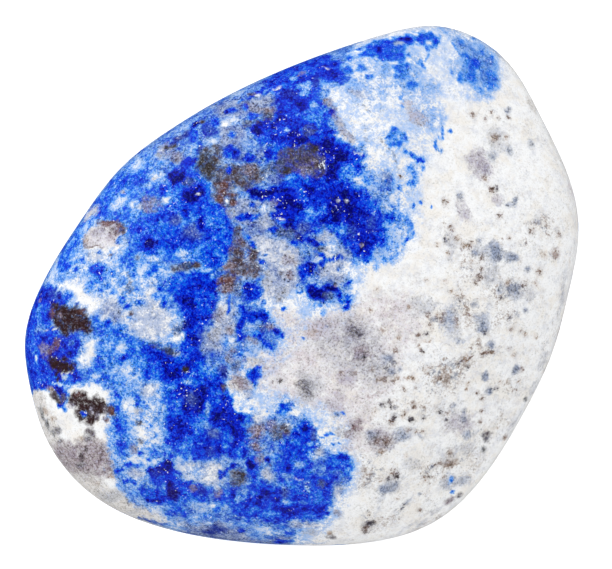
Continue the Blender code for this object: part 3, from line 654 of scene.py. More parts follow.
shoulderPatches = [
    # Left shoulder and left rim
    ("pinkBrown", (-9.5, 2.6, 0.3, 0.25)), ("redBrown", (-9.2, 2.8, 0.2, 0.2)),
    ("mauve", (-10.3, 2.6, 0.3, 0.2, 20)), ("redBrown", (-9.9, 2.95, 0.3, 0.1, 10)),
    ("tan", (-10.9, 2.3, 0.12, 0.25)), ("brown", (-8.95, 2.75, 0.1, 0.2)),
    ("beigeAndRimShade", (-10.6, 3.6, 0.5, 0.22, 45)), ("mist", (-9.3, 4.1, 0.5, 0.3, 20),
        (-8.4, 5.9, 0.5, 0.25, 45)), ("pale", (-8.4, 4.0, 0.5, 0.22)), ("white", (-6.9, 4.2, 0.2, 0.2)),
    ("pale", (-7.4, 5.4, 0.4, 0.3)), ("azure", (-8.15, 5.4, 0.2, 0.15), (-9.0, 4.5, 0.25, 0.15)),
    ("cream", (-9.05, 4.65, 0.12, 0.1)), ("azure", (-8.6, 4.75, 0.3, 0.2, 20), (-7.5, 5.8, 0.12, 0.25),
        (-7.15, 6.1, 0.12, 0.12), (-6.7, 4.8, 0.35, 0.4)), ("royal", (-7.1, 4.8, 0.15, 0.3)),
    ("mauve", (-7.65, 4.05, 0.5, 0.35)), ("cream", (-7.5, 5.3, 0.2, 0.08, 30)),
    ("pale", (-7.8, 4.9, 0.3, 0.2)), ("azure", (-7.9, 4.7, 0.3, 0.1)),
    ("grey", (-6.9, 6.7, 0.5, 0.35, 40)), ("olive", (-6.85, 6.85, 0.14, 0.14)),
    ("glint", (-7.15, 6.75, 0.15, 0.05, 10)), ("olive", (-6.5, 6.95, 0.2, 0.14, 40)),
    ("mauve", (-6.3, 6.35, 0.4, 0.3)), ("brown", (-6.5, 6.2, 0.15, 0.12)),
    ("slateBlue", (-6.3, 7.3, 0.35, 0.16, 40), (-5.9, 7.55, 0.3, 0.16, 40)),
    ("glint", (-6.3, 7.35, 0.06, 0.05)), ("navy", (-5.4, 8.0, 0.22, 0.12, 30)),
    ("brown", (-5.05, 8.15, 0.16, 0.12, 30)), ("royal", (-5.5, 7.5, 0.3, 0.4), (-5.2, 6.9, 0.15, 0.3)),
    ("violetBlue", (-4.65, 7.7, 0.35, 0.35)), ("royal", (-4.4, 8.1, 0.25, 0.3)),
    ("mist", (-5.5, 6.9, 0.15, 0.2)), ("sparkles", (-4.7, 7.4, 0.3, 0.3)), ("navy", (-6.3, 5.4, 0.4, 0.35),
        (-5.7, 6.2, 0.35, 0.25, 20), (-5.5, 4.5, 0.55, 0.35, 20)), ("slate", (-5.7, 5.1, 0.3, 0.2)),
    ("glint", (-5.25, 4.55, 0.1, 0.06)), ("olive", (-4.85, 5.95, 0.5, 0.72), (-4.85, 6.0, 0.35, 0.5)),
    ("greyBrown", (-4.9, 6.8, 0.3, 0.2)), ("brown", (-4.35, 6.9, 0.15, 0.12), (-4.3, 6.4, 0.2, 0.2)),
    ("mist", (-4.5, 7.2, 0.15, 0.15)), ("navy", (-7.7, 2.1, 0.4, 0.28)), ("ultra", (-7.0, 2.2, 0.3, 0.2)),
    ("azure", (-8.2, 2.4, 0.35, 0.3), (-7.6, 3.0, 0.4, 0.2)), ("dullRoyal", (-5.5, 2.6, 0.5, 0.45)),
    ("navy", (-5.9, 3.7, 0.2, 0.3)), ("dullRoyal", (-6.4, 3.3, 0.3, 0.25)),
    ("navy", (-5.1, 3.0, 0.2, 0.4)), ("royal", (-6.4, 2.1, 0.3, 0.25)), ("mist", (-7.4, 1.3, 0.4, 0.2)),
    ("sparkles", (-7.8, 1.3, 0.3, 0.3)), ("slate", (-8.3, 1.35, 0.13, 0.16)),
    ("mist", (-6.0, 1.5, 0.3, 0.2)), ("sparkles", (-6.0, 1.4, 0.4, 0.3)),
    ("azure", (-8.6, 1.6, 0.15, 0.12), (-9.2, 2.2, 0.15, 0.15)), ("hazy", (-8.9, 2.3, 0.25, 0.2)),
    ("lavenderWhite", (-10.4, 1.4, 0.45, 0.25)), ("azure", (-10.2, 1.6, 0.15, 0.08),
        (-11.8, 1.0, 0.3, 0.2), (-11.2, 1.15, 0.3, 0.14), (-12.0, 0.75, 0.2, 0.1), (-11.4, 0.8, 0.15, 0.1),
        (-12.1, 1.4, 0.3, 0.1, 60)), ("ultra", (-10.45, 0.7, 0.38, 0.28)),
    ("royal", (-9.95, 0.8, 0.25, 0.15, 30)), ("azure", (-9.65, 0.55, 0.3, 0.25), (-10.7, 0.05, 0.25, 0.35),
        (-10.2, -0.25, 0.25, 0.12), (-10.2, 0.3, 0.3, 0.2), (-9.8, -0.1, 0.15, 0.1),
        (-9.5, -0.4, 0.2, 0.12)), ("royal", (-9.05, -0.78, 0.18, 0.2), (-8.85, -1.1, 0.15, 0.13)),
    ("azure", (-8.25, -0.9, 0.25, 0.12), (-9.2, 1.2, 0.2, 0.2), (-8.7, 1.0, 0.2, 0.2),
        (-8.5, 0.7, 0.15, 0.3)), ("slate", (-8.7, -0.25, 0.2, 0.18)), ("azure", (-8.35, -0.25, 0.1, 0.1)),
    ("redBrown", (-8.6, -1.4, 0.13, 0.12)), ("black", (-8.65, -1.35, 0.07, 0.06)),
    ("azure", (-8.7, -1.65, 0.1, 0.06), (-7.4, -0.6, 0.22, 0.2)), ("ultra", (-7.15, -0.2, 0.12, 0.12)),
    ("azure", (-7.8, 0.5, 0.25, 0.2), (-7.5, 0.7, 0.2, 0.1)), ("pale", (-8.0, 0.1, 0.3, 0.3)),
    ("azure", (-7.3, 0.9, 0.3, 0.1)), ("pale", (-9.2, 0.8, 0.15, 0.5)), ("azure", (-6.9, -0.7, 0.2, 0.2)),
    ("sparkles", (-6.2, -1.5, 0.45, 0.45), (-6.45, -2.6, 0.5, 0.4)), ("white", (-6.4, -2.65, 0.2, 0.12),
        (-6.0, -2.5, 0.12, 0.2)), ("sparkles", (-6.8, -0.2, 0.3, 0.4)),
    ("slate", (-6.3, -2.2, 0.25, 0.25)), ("royal", (-7.0, -0.9, 0.15, 0.2)),
    ("slateBlue", (-5.9, -2.0, 0.15, 0.2)), ("darkSlate", (-5.8, 1.0, 0.4, 0.22)),
    ("greyBrown", (-6.3, 0.8, 0.35, 0.18)), ("brown", (-5.3, 1.0, 0.2, 0.15)),
    # Left rim under the brown bodies
    ("violetBlue", (-12.45, -0.5, 0.45, 0.3)), ("royal", (-11.85, -0.6, 0.2, 0.2)),
    ("azure", (-13.2, -1.5, 0.2, 0.4)), ("hazy", (-13.2, -2.2, 0.35, 0.25)),
    ("royal", (-12.8, -2.0, 0.2, 0.2)), ("pinkBrown", (-13.15, -0.75, 0.12, 0.08, 45)),
    ("mist", (-11.4, -0.95, 0.25, 0.08, 10)), ("slateBlue", (-11.3, -1.0, 0.15, 0.08)),
    ("pinkBrown", (-12.2, -1.5, 0.14, 0.14)), ("redBrown", (-12.55, -1.4, 0.14, 0.2),
        (-11.1, -1.3, 0.2, 0.12)), ("ultra", (-11.9, -3.2, 0.2, 0.25)),
    ("royal", (-11.5, -3.5, 0.2, 0.14)), ("hazy", (-11.6, -2.9, 0.2, 0.14)),
    ("mauve", (-12.95, -3.2, 0.25, 0.4)), ("white", (-13.35, -3.65, 0.08, 0.2)),
    ("azure", (-13.5, -3.0, 0.12, 0.4)), ("ultra", (-13.0, -4.3, 0.25, 0.4)),
    ("navy", (-13.1, -5.1, 0.12, 0.12)), ("ultra", (-12.9, -2.7, 0.35, 0.2), (-11.5, -4.65, 0.35, 0.14)),
    ("mist", (-11.9, -4.6, 0.15, 0.1)), ("ultra", (-12.2, -5.3, 0.25, 0.2)),
    ("redBrown", (-11.3, -5.5, 0.2, 0.12)), ("glint", (-11.35, -5.4, 0.04, 0.04)),
    ("mauve", (-11.6, -6.0, 0.2, 0.15)), ("royal", (-10.95, -6.45, 0.17, 0.15)),
    ("azure", (-11.1, -6.35, 0.07, 0.06)), ("mauve", (-10.6, -6.3, 0.12, 0.2), (-10.3, -6.5, 0.1, 0.15)),
    ("redBrown", (-9.6, -6.3, 0.14, 0.25)), ("mauve", (-9.9, -6.2, 0.15, 0.14)),
    ("redBrown", (-9.85, -6.75, 0.14, 0.12)), ("brown", (-12.5, -5.55, 0.25, 0.2)),
    ("tan", (-12.7, -5.2, 0.2, 0.14)), ("brown", (-12.2, -5.8, 0.2, 0.16)),
    ("beigeAndRimShade", (-13.1, -5.8, 0.25, 0.3)), ("tan", (-12.9, -6.3, 0.2, 0.14)),
    ("greyBrown", (-12.0, -5.6, 0.15, 0.2), (-12.3, -7.3, 0.25, 0.2), (-12.2, -7.8, 0.2, 0.1, 40)),
    ("tan", (-12.5, -6.7, 0.25, 0.12)), ("brown", (-10.65, -7.45, 0.28, 0.25)),
    ("tan", (-11.1, -7.65, 0.2, 0.1)), ("greyBrown", (-10.8, -7.65, 0.2, 0.14)),
    ("brown", (-12.1, -7.85, 0.07, 0.07)), ("black", (-12.8, -6.95, 0.05, 0.1, 30)),
    ("brown", (-11.1, -8.6, 0.13, 0.25), (-10.85, -8.3, 0.1, 0.15)),
    ("pinkBrown", (-11.6, -8.4, 0.3, 0.25)), ("greyBrown", (-11.1, -9.05, 0.3, 0.14, 20)),
    ("pinkBrown", (-10.1, -8.6, 0.4, 0.4)), ("beigeAndRimShade", (-10.6, -10.1, 0.8, 0.35, 35)),
    ("grey", (-9.6, -10.6, 0.8, 0.3, 28)), ("tan", (-10.3, -9.95, 0.2, 0.1)),
    ("grey", (-8.3, -11.3, 0.8, 0.2, 20)), ("white", (-7.6, -11.95, 1.0, 0.3, -15)),
    ("pale", (-6.5, -12.1, 0.7, 0.25, -10)), ("grey", (-7.9, -11.85, 0.8, 0.25, -15)),
    ("beigeAndRimShade", (-7.9, -11.3, 0.4, 0.14, 15)), ("tan", (-9.6, -9.6, 0.2, 0.1)),
    ("pinkBrown", (-12.3, -8.4, 0.3, 0.2, 45)),
]

upperPatches = [
    ("mist", (-0.15, 9.95, 0.2, 0.16), (0.15, 9.8, 0.2, 0.28), (0.3, 10.12, 0.15, 0.1),
        (-0.05, 9.55, 0.15, 0.1)), ("sparkles", (0.05, 9.85, 0.5, 0.5)),
    ("mist", (0.82, 10.22, 0.08, 0.12)), ("mauve", (-0.15, 10.6, 0.3, 0.12, 25)),
    ("ultra", (-1.0, 10.2, 0.6, 0.12, 25), (-2.3, 9.6, 0.6, 0.12, 27)), ("mist", (-0.5, 10.35, 0.2, 0.12)),
    ("glint", (-2.25, 9.5, 0.16, 0.08), (-1.3, 9.85, 0.22, 0.06, 20)),
    ("navy", (1.3, 11.0, 0.5, 0.14, 10)), ("ultra", (1.5, 10.6, 0.35, 0.3)),
    ("azure", (1.1, 10.1, 0.2, 0.2)), ("mist", (1.1, 9.9, 0.2, 0.14)),
    ("violetBlue", (0.6, 10.2, 0.2, 0.3), (-0.7, 9.5, 0.4, 0.3)), ("navy", (0.0, 9.0, 0.3, 0.25)),
    ("ultra", (-0.9, 9.1, 0.4, 0.3)), ("mist", (0.55, 9.0, 0.2, 0.14)),
    ("lavender", (-2.2, 9.15, 0.5, 0.2, 20)), ("mauve", (-2.7, 8.95, 0.35, 0.16)),
    ("greyBrown", (-2.6, 9.55, 0.25, 0.08, 27), (-1.75, 8.5, 0.25, 0.35)),
    ("pinkBrown", (-1.7, 8.75, 0.25, 0.16)), ("mauve", (-2.3, 8.7, 0.3, 0.2)),
    ("greyBrown", (-2.8, 8.1, 0.28, 0.22)), ("navy", (-2.2, 7.85, 0.32, 0.3)),
    ("brown", (-2.3, 8.15, 0.14, 0.1)), ("black", (-2.65, 7.35, 0.13, 0.075, 5)),
    ("royal", (-2.5, 8.45, 0.3, 0.16), (-3.6, 8.75, 0.28, 0.16)), ("navy", (-3.85, 8.65, 0.12, 0.1)),
    ("azure", (-3.6, 7.5, 0.18, 0.2)), ("mist", (-3.5, 8.2, 0.45, 0.25)), ("white", (-3.9, 8.0, 0.2, 0.1)),
    ("azure", (-2.9, 8.9, 0.2, 0.2), (-3.2, 9.2, 0.2, 0.08, 30)), ("hazy", (-2.6, 7.0, 0.5, 0.4)),
    ("royal", (-3.6, 6.6, 0.4, 0.3), (-2.7, 6.4, 0.3, 0.25)), ("navy", (-1.75, 6.5, 0.18, 0.3)),
    ("azure", (-1.2, 7.0, 0.3, 0.2)), ("sparkles", (-1.8, 6.8, 0.3, 0.3)),
    ("navy", (-0.55, 7.4, 0.35, 0.42), (-1.0, 8.25, 0.4, 0.16), (-1.5, 8.0, 0.3, 0.2)),
    ("sparkles", (-0.85, 7.7, 0.35, 0.3)), ("mist", (-0.8, 7.75, 0.14, 0.12)),
    ("ultra", (-1.4, 7.3, 0.4, 0.25)), ("azure", (0.3, 8.3, 0.4, 0.25), (0.9, 7.9, 0.35, 0.35),
        (1.1, 8.8, 0.3, 0.2)), ("navy", (1.4, 8.7, 0.1, 0.1)), ("slate", (0.3, 7.7, 0.35, 0.3)),
    ("royal", (0.7, 7.4, 0.3, 0.2)), ("navy", (0.1, 7.2, 0.3, 0.14)), ("ultra", (1.3, 7.6, 0.3, 0.2)),
    ("slate", (-1.1, 6.1, 0.2, 0.3)), ("olive", (-0.9, 5.75, 0.2, 0.2)), ("brown", (-0.6, 6.6, 0.2, 0.2)),
    ("olive", (0.5, 6.85, 0.25, 0.2)), ("mauve", (0.05, 5.7, 0.3, 0.25)),
    ("greyBrown", (0.0, 6.4, 0.35, 0.3)), ("brown", (0.6, 6.0, 0.3, 0.3)),
    ("sparkles", (0.8, 6.0, 0.3, 0.35)), ("mauve", (0.5, 6.2, 0.14, 0.1)),
    ("slate", (-1.6, 5.8, 0.3, 0.3)), ("azure", (-0.5, 5.3, 0.4, 0.2)),
    ("dullRoyal", (-1.4, 5.3, 0.4, 0.25)), ("ultra", (0.2, 5.1, 0.3, 0.14)),
    ("azure", (2.2, 5.7, 0.4, 0.42), (2.9, 5.5, 0.25, 0.25)), ("mist", (2.8, 5.2, 0.35, 0.25)),
    ("azure", (2.0, 6.1, 0.2, 0.1)), ("ultra", (2.5, 6.2, 0.2, 0.35)), ("sparkles", (2.6, 6.5, 0.35, 0.3)),
    ("white", (2.6, 5.3, 0.14, 0.1)), ("azure", (3.2, 5.2, 0.2, 0.14)), ("pale", (3.4, 5.6, 0.3, 0.2)),
    ("brown", (-3.4, 5.6, 0.25, 0.35), (-3.15, 5.15, 0.25, 0.2)), ("pinkBrown", (-2.7, 5.75, 0.3, 0.25)),
    ("brown", (-2.4, 5.5, 0.2, 0.25)), ("redBrown", (-4.0, 4.9, 0.3, 0.45), (-4.1, 4.35, 0.22, 0.3)),
    ("white", (-3.85, 4.2, 0.12, 0.16)), ("darkSlate", (-4.25, 5.25, 0.2, 0.12)),
    ("royal", (-3.7, 5.75, 0.16, 0.2)), ("mist", (-3.3, 4.75, 0.2, 0.2)),
    ("redBrown", (-3.5, 4.1, 0.2, 0.14)), ("grey", (-3.6, 3.6, 0.25, 0.25)),
    ("redBrown", (-3.6, 4.5, 0.2, 0.07)), ("royal", (-3.0, 3.35, 0.4, 0.18), (-2.55, 3.3, 0.25, 0.16),
        (-2.6, 4.0, 0.15, 0.14)), ("azure", (-2.2, 3.4, 0.2, 0.14)), ("ultra", (-1.55, 2.8, 0.25, 0.14),
        (-1.6, 3.5, 0.14, 0.2)), ("mauve", (-1.5, 4.15, 0.2, 0.16)), ("pale", (-2.0, 3.8, 0.25, 0.2)),
    ("sparkles", (-2.2, 3.6, 0.6, 0.4)), ("slate", (-1.0, 2.7, 0.35, 0.25)),
    ("lavender", (-1.9, 3.2, 0.3, 0.3)), ("slate", (-0.5, 2.5, 0.3, 0.3)),
    ("royal", (-0.5, 2.1, 0.2, 0.16)), ("sparkles", (-0.5, 2.3, 0.25, 0.25)),
    ("glint", (-1.1, 3.3, 0.06, 0.16, 60)), ("dullRoyal", (0.0, 2.9, 0.35, 0.35)),
    ("hazy", (0.1, 1.8, 0.3, 0.35)), ("azure", (0.3, 3.6, 0.4, 0.35), (1.0, 3.8, 0.14, 0.22)),
    ("mist", (3.5, 3.5, 0.18, 0.22)), ("azure", (2.0, 2.85, 0.22, 0.35)),
    ("violetBlue", (2.5, 2.7, 0.3, 0.4)), ("royal", (3.5, 2.4, 0.3, 0.6)), ("navy", (2.85, 2.5, 0.25, 0.5),
        (0.6, 4.6, 0.5, 0.2)), ("sparkles", (1.9, 4.2, 0.5, 0.5)), ("glint", (1.75, 4.25, 0.1, 0.08),
        (2.15, 4.2, 0.1, 0.06)), ("sparkles", (3.6, 2.1, 0.4, 0.4)), ("cream", (2.85, 2.0, 0.12, 0.09)),
    ("azure", (1.5, 2.9, 0.3, 0.1), (0.75, 2.7, 0.25, 0.25)), ("hazy", (3.7, 4.6, 0.4, 0.4),
        (4.2, 3.7, 0.3, 0.6)), ("violetBlue", (3.3, 3.1, 0.3, 0.4)), ("royal", (3.15, 1.25, 0.2, 0.18)),
    ("azure", (2.55, 1.45, 0.12, 0.14)), ("hazy", (3.8, 1.6, 0.3, 0.3)), ("mist", (1.4, 2.0, 0.35, 0.35)),
    ("white", (1.5, 1.95, 0.15, 0.1), (0.72, 1.25, 0.13, 0.13)), ("azure", (0.9, 2.0, 0.15, 0.12)),
    ("slate", (0.9, 1.8, 0.3, 0.14)), ("azure", (1.75, 0.75, 0.06, 0.14)),
]

middlePatches = [
    ("ultra", (0.2, 0.75, 0.42, 0.35)), ("navy", (0.4, 0.85, 0.16, 0.2)),
    ("royal", (-0.05, 0.5, 0.12, 0.3), (-0.2, 0.85, 0.12, 0.08)), ("hazy", (0.6, 0.3, 0.3, 0.16)),
    ("azure", (1.4, 0.25, 0.1, 0.1)), ("navy", (0.6, -0.3, 0.5, 0.28, -20), (1.4, -0.15, 0.4, 0.12, -8)),
    ("ultra", (1.85, -0.55, 0.16, 0.35, 10)), ("slate", (1.2, -0.5, 0.25, 0.2)),
    ("ultra", (2.2, -0.75, 0.13, 0.25), (2.15, -1.15, 0.16, 0.16)), ("azure", (1.0, -1.35, 0.16, 0.2)),
    ("mist", (1.0, -1.05, 0.2, 0.1)), ("azure", (1.1, -2.05, 0.1, 0.08), (2.3, 0.15, 0.1, 0.06)),
    ("tan", (1.6, 0.05, 0.1, 0.12)), ("azure", (-0.35, -0.03, 0.07, 0.06)),
    ("mist", (0.8, 0.0, 0.14, 0.05)), ("royal", (-1.0, -1.22, 0.1, 0.07)),
    ("azure", (0.0, -2.6, 0.12, 0.045), (-0.65, -2.5, 0.06, 0.05)), ("lavender", (1.6, 0.4, 0.3, 0.3)),
    ("mauve", (-0.7, 1.3, 0.4, 0.3)), ("pinkBrown", (-0.7, 0.5, 0.2, 0.22)),
    ("greyBrown", (-1.1, 0.6, 0.12, 0.1)), ("grey", (-1.8, 0.2, 0.2, 0.5), (-1.1, -0.5, 0.3, 0.4)),
    ("greyBrown", (-1.2, -0.8, 0.1, 0.1)), ("royal", (-2.55, 2.05, 0.16, 0.2), (-1.9, 1.5, 0.08, 0.07)),
    ("ultra", (-2.05, 1.15, 0.15, 0.12)), ("azure", (-2.8, 2.4, 0.14, 0.12)),
    ("royal", (-2.3, 0.2, 0.1, 0.1)), ("azure", (-2.4, 1.85, 0.14, 0.1)),
    ("brown", (-3.3, 1.55, 0.3, 0.35), (-2.5, 1.5, 0.25, 0.3)), ("pinkBrown", (-3.6, 0.95, 0.3, 0.2)),
    ("greyBrown", (-2.4, 0.85, 0.3, 0.25)), ("brown", (-3.1, 0.9, 0.3, 0.25)),
    ("redBrown", (-3.75, 0.2, 0.22, 0.2), (-4.1, 0.25, 0.16, 0.2)), ("pinkBrown", (-3.8, -0.2, 0.3, 0.2)),
    ("mist", (-4.5, 0.4, 0.2, 0.2)), ("brown", (-3.4, 2.7, 0.16, 0.18)), ("mist", (-2.9, 1.5, 0.1, 0.25)),
    ("sparkles", (-2.9, 1.3, 0.25, 0.3)), ("mist", (-4.6, 0.75, 0.4, 0.1)),
    ("redBrown", (-4.0, -0.3, 0.14, 0.08)), ("slate", (-3.3, -0.2, 0.2, 0.3)),
    ("ultra", (-2.5, -0.35, 0.42, 0.35)), ("navy", (-2.8, -0.1, 0.2, 0.22)),
    ("ultra", (-2.4, -1.6, 0.55, 0.25, 10)), ("navy", (-1.95, -1.6, 0.16, 0.2)),
    ("royal", (-2.0, -0.9, 0.1, 0.1)), ("sparkles", (-2.3, -0.9, 0.4, 0.25)),
    ("mist", (-2.4, -0.95, 0.35, 0.1)), ("slate", (-2.0, -2.2, 0.35, 0.16)),
    ("mauve", (-1.65, -2.15, 0.25, 0.16)), ("ultra", (-1.4, -2.35, 0.14, 0.14)),
    ("royal", (-1.15, -2.5, 0.12, 0.1)), ("azure", (-2.4, -2.4, 0.25, 0.12)),
    ("mauve", (-2.6, -2.85, 0.3, 0.25)), ("hazy", (-2.7, -3.1, 0.35, 0.2)),
    ("pinkBrown", (-3.7, -2.3, 0.2, 0.25)), ("glint", (-3.0, -3.0, 0.08, 0.06)),
    ("azure", (-3.1, -3.4, 0.16, 0.12)), ("mauve", (-4.2, -1.5, 0.3, 0.3)),
    ("pale", (-4.1, -0.7, 0.16, 0.3)), ("grey", (-4.5, -2.5, 0.3, 0.3)), ("hazy", (-4.3, -3.6, 0.6, 0.3)),
    ("mist", (-3.8, -2.9, 0.35, 0.3)), ("pinkBrown", (-3.5, -3.3, 0.16, 0.12)),
    ("slate", (-3.4, -3.95, 0.2, 0.25)), ("redBrown", (-3.9, -4.15, 0.1, 0.12)),
    ("mauve", (-3.7, -3.6, 0.2, 0.2)), ("slateBlue", (-4.0, -4.3, 0.2, 0.3)),
    ("azure", (-2.45, -4.45, 0.35, 0.3)), ("royal", (-2.5, -4.5, 0.2, 0.2)),
    ("azure", (-2.3, -4.15, 0.22, 0.1, 20), (-2.45, -4.95, 0.1, 0.2), (-2.8, -4.45, 0.14, 0.08),
        (-2.7, -5.7, 0.12, 0.06)), ("pinkish", (-3.3, -4.8, 0.4, 0.4)), ("mauve", (-2.9, -5.1, 0.3, 0.3)),
    ("pinkBrown", (-3.1, -5.0, 0.16, 0.16)), ("lavender", (-2.8, -5.5, 0.3, 0.2)),
    ("grey", (-2.4, -3.8, 0.4, 0.2)),
    # Lower left of the blue
    ("ultra", (-6.5, -4.2, 0.4, 0.45)), ("azure", (-7.4, -4.2, 0.4, 0.4)),
    ("royal", (-7.9, -3.3, 0.25, 0.12), (-7.4, -3.45, 0.14, 0.14)), ("darkSlate", (-6.7, -3.3, 0.3, 0.25)),
    ("glint", (-6.3, -3.45, 0.12, 0.04)), ("ultra", (-5.5, -3.3, 0.3, 0.35)),
    ("olive", (-5.9, -4.25, 0.16, 0.16)), ("azure", (-5.3, -4.5, 0.3, 0.25)),
    ("mist", (-5.8, -4.85, 0.25, 0.14)), ("azure", (-6.6, -5.2, 0.3, 0.35), (-4.8, -4.3, 0.3, 0.3)),
    ("royal", (-9.0, -3.65, 0.16, 0.13)), ("azure", (-8.3, -3.9, 0.2, 0.14)),
    ("royal", (-8.5, -3.4, 0.08, 0.07)), ("mist", (-9.8, -3.0, 0.25, 0.2), (-9.1, -3.2, 0.2, 0.3),
        (-8.8, -4.2, 0.35, 0.2)), ("royal", (-9.75, -1.9, 0.2, 0.1)), ("azure", (-10.3, -1.8, 0.12, 0.2),
        (-9.3, -2.3, 0.35, 0.14)), ("mist", (-9.6, -4.3, 0.35, 0.25), (-10.3, -4.5, 0.3, 0.2)),
    ("azure", (-9.2, -4.9, 0.3, 0.25)), ("royal", (-9.35, -5.5, 0.12, 0.1)),
    ("azure", (-8.9, -5.5, 0.16, 0.3)), ("navy", (-8.0, -5.0, 0.1, 0.07)),
    ("royal", (-8.3, -5.9, 0.12, 0.25)), ("azure", (-8.1, -6.0, 0.2, 0.14), (-7.8, -6.1, 0.12, 0.08)),
    ("royal", (-9.3, -6.2, 0.1, 0.18)), ("white", (-8.9, -6.0, 0.16, 0.25)),
    ("lavenderWhite", (-7.8, -5.3, 0.35, 0.3)), ("grey", (-8.3, -6.3, 0.2, 0.2)),
    ("greyBrown", (-8.2, -6.9, 0.2, 0.12)), ("white", (-8.1, -7.5, 0.2, 0.3)),
    ("azure", (-7.6, -7.1, 0.16, 0.16), (-7.3, -7.55, 0.1, 0.1), (-7.1, -5.3, 0.2, 0.1)),
    ("greyBrown", (-8.15, -7.85, 0.2, 0.1)), ("sparkles", (-7.6, -7.0, 0.6, 0.8)),
    ("mauve", (-8.5, -8.2, 0.2, 0.25)), ("royal", (-8.15, -8.4, 0.12, 0.14)),
    ("azure", (-7.4, -8.4, 0.25, 0.2), (-7.8, -8.7, 0.2, 0.1)), ("royal", (-6.6, -8.6, 0.16, 0.12)),
    ("azure", (-6.8, -8.4, 0.2, 0.1)), ("royal", (-5.9, -8.65, 0.2, 0.12), (-5.45, -8.65, 0.12, 0.12)),
    ("navy", (-4.7, -8.2, 0.35, 0.45)), ("violetBlue", (-4.7, -8.3, 0.25, 0.3)),
    ("ultra", (-6.1, -7.3, 0.5, 0.35)), ("navy", (-6.1, -7.4, 0.2, 0.14)),
    ("azure", (-5.3, -7.2, 0.3, 0.3)), ("ultra", (-6.4, -6.6, 0.3, 0.25)),
    ("hazy", (-4.8, -6.2, 0.14, 0.35)), ("dullRoyal", (-4.5, -7.4, 0.35, 0.3)),
    ("azure", (-3.9, -7.9, 0.2, 0.3), (-5.8, -8.0, 0.35, 0.2)), ("hazy", (-4.9, -7.0, 0.25, 0.2)),
    ("navy", (-3.4, -7.5, 0.25, 0.5)), ("hazy", (-3.6, -7.7, 0.1, 0.2)),
    ("sparkles", (-3.6, -5.8, 0.3, 0.14)), ("slateBlue", (-5.6, -5.7, 0.35, 0.35)),
    ("sparkles", (-5.5, -5.6, 0.5, 0.5)), ("royal", (-4.6, -5.4, 0.3, 0.3)),
    ("azure", (-3.1, -8.3, 0.2, 0.25)), ("ultra", (-3.0, -8.4, 0.14, 0.2)),
    ("royal", (-2.6, -8.8, 0.3, 0.25)),
]

